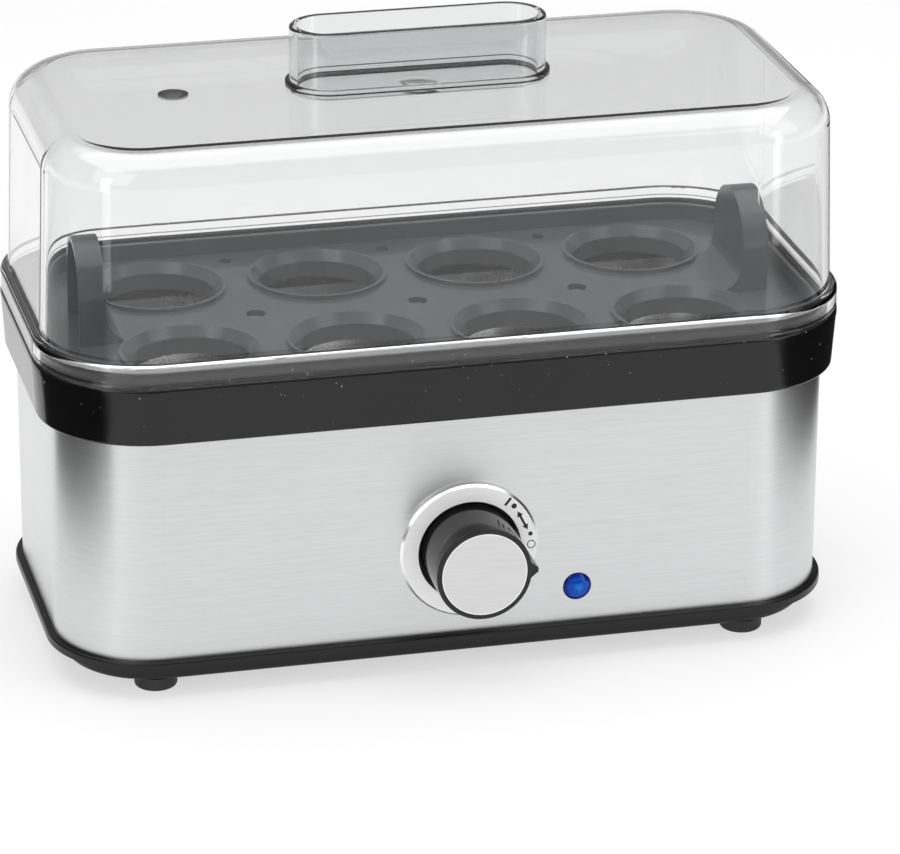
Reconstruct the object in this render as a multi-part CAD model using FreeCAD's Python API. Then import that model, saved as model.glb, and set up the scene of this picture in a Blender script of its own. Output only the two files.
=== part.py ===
"""Electric egg cooker with a clear lift-off lid, a lift-out egg tray and a turn dial.

Frame: millimetres, +Z up, the dial faces -Y. The origin is on the floor, under the middle of the cooker's
whole outline, knob included. The shapes are worked out around the case's own middle, and move to that
origin as they are written. Every sub-part is written to its own file, parts/NAME.step.
"""
import FreeCAD
import Part
import math
import os

V = FreeCAD.Vector
X_AXIS, Y_AXIS, Z_AXIS = V(1, 0, 0), V(0, 1, 0), V(0, 0, 1)
FRONT = V(0, -1, 0)

# ---------------------------------------------------------------- driving dimensions
# Case, from the floor up. The collar has the largest outline; the other outlines are insets of it.
case_length = 240.0
case_depth = 121.0
case_corner_radius = 33.0
foot_height = 4.0
pan_height = 5.4
flange_height = 2.6
jacket_height = 68.0
collar_height = 17.5
collar_draft = 1.0
flange_inset = 2.2
jacket_inset = 4.3
pan_inset = 7.6

# Walls, gaps and joins that many pieces share.
plastic_wall = 2.2
jacket_sheet = 0.8
fit_gap = 0.2
snug_gap = 0.1
press_gap = 0.05
join = 0.5

# Bottom pan.
pan_edge_radius = 1.4
flange_edge_radius = 0.8
jacket_groove_depth = 1.2
locating_rib_height = 5.0
air_slot_count = 9
air_slot_pitch = 9.0
air_slot_width = 3.0
air_slot_length = 28.0

# Feet.
foot_radius = 6.3
foot_edge_radius = 1.0
foot_peg_radius = 3.0
foot_bulb_swell = 0.6
foot_bulb_taper = 1.4
foot_bulb_height = 2.0
foot_inset_x = 31.0
foot_inset_y = 14.7

# Long screws from the pan up into the upper frame's pillars.
case_screw_radius = 1.25
case_screw_hole_radius = 1.7
case_screw_head_radius = 2.7
case_screw_head_height = 1.6
case_screw_sink = 1.7
case_screw_bite = 14.0
recess_length = 3.2
recess_width = 0.7
recess_depth = 0.8
pilot_end_gap = 2.0
boss_radius = 3.8
pillar_radius = 3.4
pillar_inset = 13.2

# Upper frame: collar, the lid's ledge, the upstand, the tray's step, the basin and the dish's shelf.
upstand_inset = 3.3
upstand_wall = 1.8
upstand_height = 3.5
step_width = 4.4
step_depth = 4.5
basin_depth = 7.0
shelf_width = 6.5
frame_floor = 2.0
jacket_tuck = 3.0
jacket_top_gap = 1.0
ledge_edge_radius = 1.0
collar_foot_radius = 0.8
upstand_edge_radius = 0.6

# Water dish, its seal and its fixings.
dish_sheet = 0.8
dish_depth = 11.0
dish_slope = 2.5
dish_floor_radius = 2.6
dish_side_gap = 0.8
gasket_thickness = 1.0
gasket_lap = 0.6
stud_x = 33.6
stud_radius = 1.5
stud_drop = 4.2
nut_across_flats = 5.5
nut_height = 2.4

# Heater: spreader plate, U-shaped element with its pins and beads.
spreader_thickness = 3.0
spreader_margin = 8.0
spreader_end_margin = 4.0
spreader_corner_radius = 12.0
element_radius = 3.2
element_row = 22.0
element_sink = 1.0
element_inset = 42.0
pin_radius = 1.2
pin_length = 8.0
pin_tab_length = 7.0
pin_tab_reach = 13.0
pin_tab_width = 4.8
blade_thickness = 0.8
bead_radius = 2.6
bead_length = 3.0

# Thermostat and its clamp, thermal fuse and its clip.
thermostat_x = -19.2
thermostat_radius = 8.0
thermostat_cap_height = 4.0
thermostat_height = 9.0
thermostat_step = 1.6
blade_root = 2.0
blade_reach = 13.0
blade_width = 4.8
clamp_width = 16.0
clamp_span = 29.0
clamp_leg = 2.8
clamp_sheet = 0.8
fuse_x = 26.4
fuse_radius = 2.0
fuse_length = 14.0
fuse_wire_radius = 0.6
fuse_wire_length = 4.0
clip_width = 5.0
clip_sheet = 0.8
clip_foot = 7.5

# Heat shield.
shield_post_x = 72.0
shield_post_radius = 2.8
shield_clearance = 3.8
shield_sheet = 0.8
shield_end_margin = 10.0
shield_side_margin = 3.8
shield_edge_height = 4.0
shield_edge_setback = 14.0
shield_hole_radius = 1.6
shield_window_radius = 4.0
shield_window_gap = 8.0
shield_screw_radius = 1.15
shield_screw_bite = 6.0
shield_screw_head_radius = 2.6
shield_screw_head_height = 1.8
slot_depth = 0.7

# Egg tray.
seat_radius = 17.5
seat_wall = 1.6
seat_drop = 5.0
seat_lip_width = 1.8
seat_lip_height = 1.2
seat_mouth_flare = 2.4
seat_mouth_depth = 3.0
seat_end_overlap = 2.0
tray_gap = 0.5
tray_rest_gap = 0.3
tray_wall = 1.8
tray_rim_rise = 5.2
tray_rim_edge_radius = 0.7
middle_hole_radius = 3.0
side_hole_radius = 2.0
side_hole_gap = 1.0
tab_width = 30.0
tab_depth = 8.0
tab_rise = 28.0
tab_end_gap = 16.0
tab_flare_radius = 9.0

# Lid.
lid_height = 66.9
lid_wall = 2.0
lid_draft = 2.3
lid_edge_radius = 10.4
lid_skirt_height = 6.7
lid_skirt_wall = 2.5
lid_skirt_inset = 0.2
lid_skirt_top_radius = 1.6
lid_skirt_foot_radius = 0.5
lid_rest_gap = 0.3
lid_over_upstand = 1.0
vent_radius = 4.4
vent_throat_radius = 1.7
vent_x = -72.5

# Oval grip on the lid.
grip_length = 76.2
grip_depth = 23.0
grip_height = 17.7
grip_wall = 2.2
grip_floor_sink = 1.0
grip_flange = 1.3
grip_flange_height = 1.6
grip_flange_edge_radius = 0.7
grip_edge_radius = 0.8
grip_neck = 0.8
grip_neck_gap = 0.15
grip_neck_reach = 1.2
grip_snap = 0.6
dome_radius = 5.7
dome_height = 0.8

# Dial: ring, knob and the control behind them.
dial_x = 2.0
dial_lift = 2.3
knob_ring_gap = 1.3
ring_width = 5.3
ring_thickness = 1.8
ring_bevel = 0.7
ring_neck_wall = 1.2
knob_radius = 14.1
knob_reach = 17.6
knob_wall = 2.0
knob_face_thickness = 3.0
knob_edge_radius = 0.5
knob_tail_gap = 0.6
knob_hub_wall = 2.2
knob_hub_gap = 1.2
knob_rim = 1.5
knob_cap_thickness = 0.8
pointer_rise = 1.9
pointer_half_angle = 12.0
pointer_tip_half_angle = 2.2
pointer_setback = 0.2
pointer_tail_gap = 0.6
shaft_radius = 3.0
shaft_gap = 0.05
shaft_inset = 5.0
shaft_end_gap = 0.6
shaft_flat_length = 9.0
shaft_flat_depth = 0.8
control_size = 22.0
control_depth = 8.4
control_back = 1.6
bushing_wall = 1.0
bushing_reach = 3.4
control_nut_flats = 11.0
control_nut_height = 2.2
well_depth = 3.4

# Carrier behind the jacket, the board on it and the parts on the board.
carrier_left = 24.0
carrier_right = 14.0
post_radius = 2.4
post_left = 20.0
post_right = 10.0
post_low = 3.0
post_high = 3.0
board_thickness = 1.6
board_low = 9.0
board_drop = 2.8
board_edge = 1.0
board_hole_radius = 1.3
board_screw_radius = 0.95
board_screw_bite = 5.0
board_screw_head_radius = 2.0
board_screw_head_height = 1.4
relay_left = 16.0
relay_low = 4.0
relay_width = 19.0
relay_height = 15.0
relay_depth = 15.0
capacitor_right = 12.0
capacitor_high = 8.0
capacitor_radius = 5.0
capacitor_height = 12.0
buzzer_left = 4.0
buzzer_high = 6.0
buzzer_radius = 6.0
buzzer_height = 8.5
buzzer_hole_radius = 1.2
buzzer_hole_depth = 2.0
component_edge_radius = 0.8

# Indicator lamp.
lamp_x = 35.0
lamp_z = 22.9
lens_radius = 4.3
lens_dome = 1.6
lens_stem_radius = 3.5
lens_stem_reach = 3.6
socket_wall = 1.5
socket_reach = 3.0
led_radius = 2.5
led_length = 5.0
led_leg_radius = 0.3
led_leg_pitch = 2.54

# Cord inlet at the back and the terminal block behind it.
gland_x = 62.0
gland_z = 26.0
gland_bore_radius = 3.7
gland_flange_radius = 7.5
gland_flange_thickness = 2.6
gland_flange_edge_radius = 1.0
gland_neck_radius = 5.4
gland_neck_length = 6.0
gland_keeper_radius = 6.9
gland_keeper_thickness = 2.5
block_setback = 24.0
block_length = 28.0
block_depth = 14.0
block_height = 11.0
terminal_pitch = 9.0
terminal_bore_radius = 1.5
terminal_bore_z = 4.5
terminal_well_radius = 2.0
terminal_well_depth = 3.0
terminal_screw_height = 2.0
terminal_screw_slot = 0.6
tag_width = 6.0
tag_length = 7.0
tag_thickness = 2.4
tag_offset = 4.0

# Internal leads.
lead_radius = 1.1
lead_bend = 3.6
tight_bend = 3.0
fuse_lead_bend = 2.6
live_right = 17.0
live_low = 8.0
neutral_right = 22.0
neutral_low = 16.0
return_low = 12.0

# ---------------------------------------------------------------- derived places
z_pan = foot_height
z_flange = z_pan + pan_height
z_jacket = z_flange + flange_height
z_collar = z_jacket + jacket_height
z_ledge = z_collar + collar_height
z_upstand = z_ledge + upstand_height
z_step = z_ledge - step_depth
z_step_under = z_step - frame_floor
z_shelf = z_step_under - basin_depth
z_shelf_under = z_shelf - frame_floor
z_roof = z_ledge + lid_height
z_skirt = z_ledge + lid_rest_gap
z_pan_floor = z_pan + plastic_wall
z_screw_head = z_pan + case_screw_sink + case_screw_head_height
boss_top = z_jacket + locating_rib_height

jacket_inner = jacket_inset + jacket_sheet
upstand_inner = upstand_inset + upstand_wall
step_inner = upstand_inner + step_width
basin_outer = step_inner - upstand_wall
shelf_inner = step_inner + shelf_width
tray_inset = upstand_inner + tray_gap

z_dish_rim = z_shelf + gasket_thickness
z_dish_rim_top = z_dish_rim + dish_sheet
z_dish_bottom = z_dish_rim - dish_depth
z_spreader = z_dish_bottom - spreader_thickness
z_element = z_spreader + element_sink - element_radius
z_thermostat_cap = z_spreader - thermostat_cap_height
z_blade = z_spreader - thermostat_height - fit_gap
z_fuse = z_spreader - fuse_radius - snug_gap
z_shield = z_blade - shield_clearance
z_shield_top = z_shield + shield_sheet

z_deck = z_step + tray_rest_gap
deck_top = z_deck + tray_wall
tab_outer_x = case_length / 2 - tab_end_gap
tab_inner_x = tab_outer_x - tab_depth
z_tab_arch = deck_top + tab_rise - tab_width / 2
seat_pitch_x = (tab_inner_x + seat_end_overlap) / 2
seat_outer_radius = seat_radius + seat_wall
seat_lip_radius = seat_outer_radius + seat_lip_width
seat_room_y = case_depth / 2 - step_inner - seat_outer_radius - tray_gap
seat_pitch_y = min(case_depth / 2 - tray_inset, 2 * seat_room_y)

y_jacket = -(case_depth / 2 - jacket_inset)
y_jacket_inside = y_jacket + jacket_sheet
y_carrier = y_jacket_inside + snug_gap
y_carrier_back = y_carrier + plastic_wall
y_ring_face = y_jacket - ring_thickness
y_knob_face = y_ring_face - knob_reach
y_knob_tail = y_jacket + knob_tail_gap
y_well_floor = y_jacket_inside + well_depth
y_control = y_well_floor + plastic_wall
y_board = y_control + control_depth
y_board_back = y_board + board_thickness
y_led = y_jacket_inside + lens_stem_reach + 2 * fit_gap
ring_bore_radius = knob_radius + knob_ring_gap
ring_radius = ring_bore_radius + ring_width
ring_neck_radius = ring_bore_radius + ring_neck_wall
well_radius = ring_neck_radius + snug_gap
well_outer_radius = well_radius + plastic_wall
dial_z = boss_top + dial_lift + well_outer_radius
knob_cap_radius = knob_radius - knob_rim
bushing_radius = shaft_radius + bushing_wall
z_board_top = z_shield - board_drop

y_back = case_depth / 2 - jacket_inset
y_gland_face = y_back + gland_flange_thickness
y_gland_end = y_back - gland_neck_length
y_gland_keeper = y_back - jacket_sheet - snug_gap

# From the case's middle to the middle of the whole outline, which runs from the knob's face to the back.
to_origin = V(0, (-y_knob_face - max(case_depth / 2, y_gland_face)) / 2, 0)


# ---------------------------------------------------------------- shape helpers
def rounded_wire(length, depth, radius, z):
    """A rounded rectangle around the case's middle, as a wire at height z."""
    x, y = length / 2 - radius, depth / 2 - radius
    arcs = []
    for corner_x, corner_y, start in [(x, y, 0), (-x, y, 90), (-x, -y, 180), (x, -y, 270)]:
        points = []
        for angle in (start, start + 45, start + 90):
            turn = math.radians(angle)
            points.append(V(corner_x + radius * math.cos(turn), corner_y + radius * math.sin(turn), z))
        arcs.append(points)
    edges = []
    for this, following in zip(arcs, arcs[1:] + arcs[:1]):
        edges.append(Part.Arc(*this).toShape())
        if not this[2].isEqual(following[0], 1e-6):
            edges.append(Part.LineSegment(this[2], following[0]).toShape())
    return Part.Wire(edges)


def upright(wire, z0, z1):
    """The solid that a flat wire sweeps from z0 up to z1."""
    return Part.Face(wire).extrude(V(0, 0, z1 - z0))


def stadium(length, depth, z0, z1):
    """An upright prism with two straight sides and two half-round ends."""
    half, radius = (length - depth) / 2, depth / 2
    wire = Part.Wire([
        Part.LineSegment(V(-half, -radius, z0), V(half, -radius, z0)).toShape(),
        Part.Arc(V(half, -radius, z0), V(half + radius, 0, z0), V(half, radius, z0)).toShape(),
        Part.LineSegment(V(half, radius, z0), V(-half, radius, z0)).toShape(),
        Part.Arc(V(-half, radius, z0), V(-half - radius, 0, z0), V(-half, -radius, z0)).toShape(),
    ])
    return upright(wire, z0, z1)


def case_wire(inset, z):
    """The case's outline, inset from the collar's, as a wire at height z."""
    return rounded_wire(case_length - 2 * inset, case_depth - 2 * inset, case_corner_radius - inset, z)


def case_prism(inset, z0, z1):
    """An upright prism on the case's outline at this inset."""
    return upright(case_wire(inset, z0), z0, z1)


def case_ring(outer, inner, z0, z1):
    """An upright wall that follows the case's outline between two insets."""
    return case_prism(outer, z0, z1).cut(case_prism(inner, z0, z1))


def box(x0, x1, y0, y1, z0, z1):
    """A block between two values on each axis."""
    return Part.makeBox(x1 - x0, y1 - y0, z1 - z0, V(x0, y0, z0))


def block(x, y, length, depth, z0, z1):
    """A block centred on (x, y), from z0 to z1."""
    return box(x - length / 2, x + length / 2, y - depth / 2, y + depth / 2, z0, z1)


def rod(radius, x, y, z0, z1):
    """An upright cylinder from z0 to z1."""
    return Part.makeCylinder(radius, z1 - z0, V(x, y, z0), Z_AXIS)


def axle(radius, x, z, y0, y1):
    """A cylinder along Y from y0 to y1."""
    return Part.makeCylinder(radius, y1 - y0, V(x, y0, z), Y_AXIS)


def bar(radius, y, z, x0, x1):
    """A cylinder along X from x0 to x1."""
    return Part.makeCylinder(radius, x1 - x0, V(x0, y, z), X_AXIS)


def hexagon(across_flats, height, at, direction):
    """A hexagonal prism standing on the point at."""
    reach = across_flats / math.sqrt(3)
    turns = [math.radians(60 * k) for k in range(7)]
    outline = Part.makePolygon([V(reach * math.cos(turn), reach * math.sin(turn), 0) for turn in turns])
    solid = Part.Face(outline).extrude(V(0, 0, height))
    solid.Placement = FreeCAD.Placement(at, FreeCAD.Rotation(Z_AXIS, direction))
    return solid


def fused(shapes):
    """One solid from shapes that touch or overlap, with coplanar faces joined."""
    whole = shapes[0].multiFuse(shapes[1:]).removeSplitter()
    return whole.Solids[0] if len(whole.Solids) == 1 else whole


def without(shape, cuts):
    """The shape with every cut taken away."""
    return shape.cut(Part.makeCompound(cuts))


def edges_at(shape, z, keep=None):
    """The edges that lie at height z, optionally only those that keep() accepts."""
    found = []
    for edge in shape.Edges:
        bounds = edge.BoundBox
        if abs(bounds.ZMin - z) < 1e-4 and abs(bounds.ZMax - z) < 1e-4 and (keep is None or keep(edge)):
            found.append(edge)
    return found


def edges_in_plane(shape, y):
    """The edges that lie in the plane at y, parallel to the case's front."""
    return [edge for edge in shape.Edges
            if abs(edge.BoundBox.YMin - y) < 1e-4 and abs(edge.BoundBox.YMax - y) < 1e-4]


def outside_of(inset):
    """A test for edges that lie on the case's outline at this inset or outside it."""
    half_length, half_depth = case_length / 2 - inset, case_depth / 2 - inset
    radius = case_corner_radius - inset
    slack = 0.05

    def test(edge):
        middle = edge.valueAt((edge.FirstParameter + edge.LastParameter) / 2)
        dx = max(abs(middle.x) - (half_length - radius), 0)
        dy = max(abs(middle.y) - (half_depth - radius), 0)
        return math.hypot(dx, dy) > radius - slack
    return test


def cap_of_sphere(radius, height):
    """Radius of the sphere whose cap has this edge radius and height."""
    return (radius ** 2 + height ** 2) / (2 * height)


def mirrored_corners(x, y):
    """The four corner places (x, y), front left first."""
    return [(-x, -y), (x, -y), (-x, y), (x, y)]


def tube(points, bend):
    """A round lead along straight runs joined by tangent arcs."""
    edges, start = [], points[0]
    for before, corner, after in zip(points, points[1:], points[2:]):
        arriving, leaving = (corner - before).normalize(), (after - corner).normalize()
        turn = arriving.getAngle(leaving)
        setback = bend * math.tan(turn / 2)
        entry, leave = corner - arriving * setback, corner + leaving * setback
        inward = (leaving - arriving).normalize()
        middle = corner + inward * (bend / math.cos(turn / 2) - bend)
        edges.append(Part.LineSegment(start, entry).toShape())
        edges.append(Part.Arc(entry, middle, leave).toShape())
        start = leave
    edges.append(Part.LineSegment(start, points[-1]).toShape())
    circle = Part.Circle(points[0], (points[1] - points[0]).normalize(), lead_radius)
    return Part.Wire(edges).makePipeShell([Part.Wire(circle.toShape())], True, False)


# ---------------------------------------------------------------- places that several sub-parts share
corner_x, corner_y = case_length / 2 - case_corner_radius, case_depth / 2 - case_corner_radius
pillar_reach = (case_corner_radius - pillar_inset) / math.sqrt(2)
pillar_places = mirrored_corners(corner_x + pillar_reach, corner_y + pillar_reach)
foot_places = mirrored_corners(case_length / 2 - foot_inset_x, case_depth / 2 - foot_inset_y)
foot_names = ["foot_front_left", "foot_front_right", "foot_rear_left", "foot_rear_right"]
shelf_middle = (step_inner + shelf_inner) / 2
shelf_end_x, shelf_side_y = case_length / 2 - shelf_middle, case_depth / 2 - shelf_middle
shield_post_places = mirrored_corners(shield_post_x, shelf_side_y)
stud_places = mirrored_corners(stud_x, shelf_side_y) + [(-shelf_end_x, 0), (shelf_end_x, 0)]
seat_places = [((column - 1.5) * seat_pitch_x, (row - 0.5) * seat_pitch_y)
               for row in (0, 1) for column in range(4)]
element_start = -case_length / 2 + element_inset
element_end = case_length / 2 - element_inset - element_row
pin_end = element_start - pin_tab_reach
fuse_start = fuse_x - fuse_wire_length
fuse_end = fuse_x + fuse_length + fuse_wire_length
window_x = thermostat_x - blade_reach - shield_window_gap
block_y = case_depth / 2 - jacket_inner - block_setback
tag_y = shelf_side_y - tag_offset - tag_length / 2
terminal_places = [gland_x + k * terminal_pitch for k in (-1, 0, 1)]
board_left, board_right = dial_x - carrier_left, lamp_x + carrier_right
post_places = [(x, z) for x in (dial_x - post_left, lamp_x + post_right)
               for z in (lamp_z - post_low, z_board_top - post_high)]


# ---------------------------------------------------------------- base
def base_pan():
    """Black bottom pan: floor, low wall, flange that the jacket stands in, and screw bosses."""
    floor = case_prism(pan_inset, z_pan, z_pan_floor)
    wall = case_ring(pan_inset, pan_inset + plastic_wall, z_pan, z_jacket)
    flange = case_ring(flange_inset, pan_inset + plastic_wall, z_flange, z_jacket)
    z_groove = z_jacket - jacket_groove_depth
    groove = case_ring(jacket_inset - fit_gap / 2, jacket_inner + fit_gap / 2, z_groove, z_jacket)
    rib_outer = jacket_inner + fit_gap
    rib = case_ring(rib_outer, rib_outer + plastic_wall, z_jacket - join, boss_top)
    bosses = [rod(boss_radius, x, y, z_pan, boss_top) for x, y in pillar_places]
    pan = fused([floor, wall, flange.cut(groove), rib] + bosses)
    pan = pan.makeFillet(pan_edge_radius, edges_at(pan, z_pan, outside_of(pan_inset)))
    pan = pan.makeFillet(flange_edge_radius, edges_at(pan, z_jacket, outside_of(flange_inset)))
    cuts = [rod(case_screw_head_radius + fit_gap, x, y, z_pan, z_screw_head) for x, y in pillar_places]
    cuts += [rod(case_screw_hole_radius, x, y, z_pan, boss_top) for x, y in pillar_places]
    cuts += [rod(foot_peg_radius + press_gap, x, y, z_pan, z_pan_floor) for x, y in foot_places]
    for k in range(air_slot_count):
        x = (k - (air_slot_count - 1) / 2) * air_slot_pitch
        cuts.append(block(x, 0, air_slot_width, air_slot_length, z_pan, z_pan_floor))
    return without(pan, cuts)


def foot(x, y):
    """Rubber foot: a button with a rounded sole and a peg with a retaining bulb."""
    button = rod(foot_radius, x, y, 0, foot_height)
    button = button.makeFillet(foot_edge_radius, edges_at(button, 0))
    peg = rod(foot_peg_radius, x, y, foot_height - join, z_pan_floor + join)
    bulb_radius = foot_peg_radius + foot_bulb_swell
    bulb = Part.makeCone(bulb_radius, bulb_radius - foot_bulb_taper, foot_bulb_height,
                         V(x, y, z_pan_floor + snug_gap), Z_AXIS)
    return fused([button, peg, bulb])


def base_screws():
    """Four long screws that clamp the pan, the jacket and the upper frame together."""
    screws = []
    z_face = z_pan + case_screw_sink
    for x, y in pillar_places:
        head = rod(case_screw_head_radius, x, y, z_face, z_screw_head)
        shank = rod(case_screw_radius, x, y, z_screw_head - join, boss_top + case_screw_bite)
        cross = [block(x, y, length, depth, z_face, z_face + recess_depth)
                 for length, depth in ((recess_length, recess_width), (recess_width, recess_length))]
        screws.append(without(fused([head, shank]), cross))
    return Part.makeCompound(screws)


def steel_jacket():
    """Brushed steel band around the case, pierced for the dial, the indicator and the cord inlet."""
    band = case_ring(jacket_inset, jacket_inner, z_jacket - jacket_groove_depth, z_collar + jacket_tuck)
    dial_hole = axle(ring_neck_radius + fit_gap, dial_x, dial_z, -case_depth, 0)
    lamp_hole = axle(lens_stem_radius + snug_gap, lamp_x, lamp_z, -case_depth, 0)
    cord_hole = axle(gland_neck_radius + snug_gap, gland_x, gland_z, 0, case_depth)
    return without(band, [dial_hole, lamp_hole, cord_hole])


# ---------------------------------------------------------------- upper frame
def upper_frame():
    """Glossy black collar with the lid's ledge, upstand, tray step, dish shelf and screw pillars."""
    skirt = Part.makeLoft([case_wire(collar_draft, z_collar), case_wire(0, z_ledge)], True)
    skirt = skirt.cut(case_prism(plastic_wall, z_collar, z_ledge))
    ledge = case_ring(0, upstand_inner, z_ledge - plastic_wall, z_ledge)
    return_lip = case_ring(plastic_wall - join, jacket_inset - fit_gap, z_collar, z_collar + plastic_wall)
    upstand = case_ring(upstand_inset, upstand_inner, z_step_under, z_upstand)
    step = case_ring(upstand_inset, step_inner, z_step_under, z_step)
    basin = case_ring(basin_outer, step_inner, z_shelf_under, z_step)
    shelf = case_ring(basin_outer, shelf_inner, z_shelf_under, z_shelf)
    z_stop = z_collar + jacket_tuck + jacket_top_gap
    stop_rib = case_ring(upstand_inner + fit_gap, step_inner, z_stop, z_step_under)
    pillars = [rod(pillar_radius, x, y, boss_top, z_shelf_under) for x, y in pillar_places]
    posts = [rod(shield_post_radius, x, y, z_shield_top, z_shelf_under) for x, y in shield_post_places]
    frame = fused([skirt, ledge, return_lip, upstand, step, basin, shelf, stop_rib] + pillars + posts)
    frame = frame.makeFillet(ledge_edge_radius, edges_at(frame, z_ledge, outside_of(0)))
    frame = frame.makeFillet(collar_foot_radius, edges_at(frame, z_collar, outside_of(collar_draft)))
    frame = frame.makeFillet(upstand_edge_radius, edges_at(frame, z_upstand))
    z_pilot = boss_top + case_screw_bite + pilot_end_gap
    cuts = [rod(case_screw_radius + press_gap, x, y, boss_top, z_pilot) for x, y in pillar_places]
    z_pilot = z_shield_top + shield_screw_bite + pilot_end_gap
    pilot_radius = shield_screw_radius + press_gap
    cuts += [rod(pilot_radius, x, y, z_shield_top, z_pilot) for x, y in shield_post_places]
    cuts += [rod(stud_radius + fit_gap, x, y, z_shelf_under, z_shelf) for x, y in stud_places]
    return without(frame, cuts)


# ---------------------------------------------------------------- heating group
def dish_volume(growth, z_floor):
    """The dish's hollow, grown outwards, from z_floor to the rim's top, with rounded floor edges."""
    top = shelf_inner + dish_side_gap - growth
    body = Part.makeLoft([case_wire(top + dish_slope, z_floor), case_wire(top, z_dish_rim_top)], True)
    return body.makeFillet(dish_floor_radius + growth, edges_at(body, z_floor))


def heating_dish():
    """Steel water dish: a flat rim on the gasket, sloping walls and a flat floor."""
    rim = case_prism(step_inner + tray_gap, z_dish_rim, z_dish_rim_top)
    shell = fused([rim, dish_volume(dish_sheet, z_dish_bottom)])
    return shell.cut(dish_volume(0, z_dish_bottom + dish_sheet))


def dish_gasket():
    """Flat silicone seal between the shelf and the dish's rim."""
    seal = case_ring(step_inner + tray_gap, shelf_inner - gasket_lap, z_shelf, z_dish_rim)
    return without(seal, [rod(stud_radius + fit_gap, x, y, z_shelf, z_dish_rim) for x, y in stud_places])


def dish_studs():
    """Studs welded under the dish's rim."""
    z_end = z_shelf_under - stud_drop
    return Part.makeCompound([rod(stud_radius, x, y, z_end, z_dish_rim) for x, y in stud_places])


def dish_nuts():
    """Nuts that pull the dish's studs down onto the shelf."""
    nuts = []
    z_under = z_shelf_under - nut_height
    for x, y in stud_places:
        nut = hexagon(nut_across_flats, nut_height, V(x, y, z_under), Z_AXIS)
        nuts.append(nut.cut(rod(stud_radius, x, y, z_under, z_shelf_under)))
    return Part.makeCompound(nuts)


def element(radius):
    """The U of the heater, open at element_start, as a round bar of this radius."""
    row = element_row
    path = Part.Wire([
        Part.LineSegment(V(element_start, -row, z_element), V(element_end, -row, z_element)).toShape(),
        Part.Arc(V(element_end, -row, z_element), V(element_end + row, 0, z_element),
                 V(element_end, row, z_element)).toShape(),
        Part.LineSegment(V(element_end, row, z_element), V(element_start, row, z_element)).toShape(),
    ])
    circle = Part.Circle(V(element_start, -row, z_element), X_AXIS, radius)
    return path.makePipeShell([Part.Wire(circle.toShape())], True, False)


def heating_element():
    """Tubular U-shaped heater."""
    return element(element_radius)


def element_pins():
    """Cold pins with flat tabs, one at each end of the heater."""
    pins = []
    for y in (-element_row, element_row):
        pin = bar(pin_radius, y, z_element, element_start - pin_length, element_start)
        tab = box(pin_end, pin_end + pin_tab_length, y - blade_thickness / 2, y + blade_thickness / 2,
                  z_element - pin_tab_width / 2, z_element + pin_tab_width / 2)
        pins.append(fused([pin, tab]))
    return Part.makeCompound(pins)


def element_insulators():
    """Ceramic beads that close the heater's ends around its pins."""
    beads = []
    for y in (-element_row, element_row):
        bead = bar(bead_radius, y, z_element, element_start - bead_length, element_start)
        beads.append(bead.cut(bar(pin_radius, y, z_element, element_start - bead_length, element_start)))
    return Part.makeCompound(beads)


def heat_spreader():
    """Aluminium plate between the dish's floor and the heater, grooved for the heater."""
    half_length = -element_start - spreader_end_margin
    half_depth = element_row + spreader_margin
    outline = rounded_wire(2 * half_length, 2 * half_depth, spreader_corner_radius, z_spreader)
    return upright(outline, z_spreader, z_dish_bottom).cut(element(element_radius + press_gap))


def thermostat():
    """Bimetal disc thermostat pressed against the heat spreader, with a flat blade terminal on each side."""
    cap = rod(thermostat_radius, thermostat_x, 0, z_thermostat_cap, z_spreader)
    body = rod(thermostat_radius - thermostat_step, thermostat_x, 0, z_spreader - thermostat_height,
               z_thermostat_cap)
    blades = []
    for side in (-1, 1):
        x0, x1 = sorted((thermostat_x + side * blade_root, thermostat_x + side * blade_reach))
        blades.append(box(x0, x1, -blade_width / 2, blade_width / 2, z_blade - blade_thickness / 2,
                          z_blade + blade_thickness / 2))
    return fused([cap, body] + blades)


def thermostat_clamp():
    """Sheet yoke that holds the thermostat's cap up against the spreader."""
    z_under = z_thermostat_cap - clamp_sheet
    plate = block(thermostat_x, 0, clamp_width, clamp_span, z_under, z_thermostat_cap)
    hole = rod(thermostat_radius - thermostat_step + snug_gap, thermostat_x, 0, z_under, z_thermostat_cap)
    leg_y = (clamp_span - clamp_leg) / 2
    legs = [block(thermostat_x, y, clamp_width, clamp_leg, z_thermostat_cap, z_spreader)
            for y in (-leg_y, leg_y)]
    return fused([plate.cut(hole)] + legs)


def thermal_fuse():
    """One-shot thermal fuse in its sleeve, lying under the spreader, with two wire ends."""
    sleeve = bar(fuse_radius, 0, z_fuse, fuse_x, fuse_x + fuse_length)
    return fused([sleeve, bar(fuse_wire_radius, 0, z_fuse, fuse_start, fuse_end)])


def fuse_clip():
    """Saddle clip over the thermal fuse, with one flat foot against the spreader."""
    x0 = fuse_x + (fuse_length - clip_width) / 2
    x1 = x0 + clip_width
    outer, inner = fuse_radius + press_gap + clip_sheet, fuse_radius + press_gap
    saddle = fused([bar(outer, 0, z_fuse, x0, x1), box(x0, x1, -outer, outer, z_fuse, z_spreader)])
    saddle = saddle.common(box(x0, x1, -outer, outer, z_fuse - outer, z_spreader))
    foot_plate = box(x0, x1, inner + clip_sheet / 2, outer + clip_foot, z_spreader - clip_sheet, z_spreader)
    return without(fused([saddle, foot_plate]),
                   [bar(inner, 0, z_fuse, x0, x1), box(x0, x1, -inner, inner, z_fuse, z_spreader)])


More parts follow.
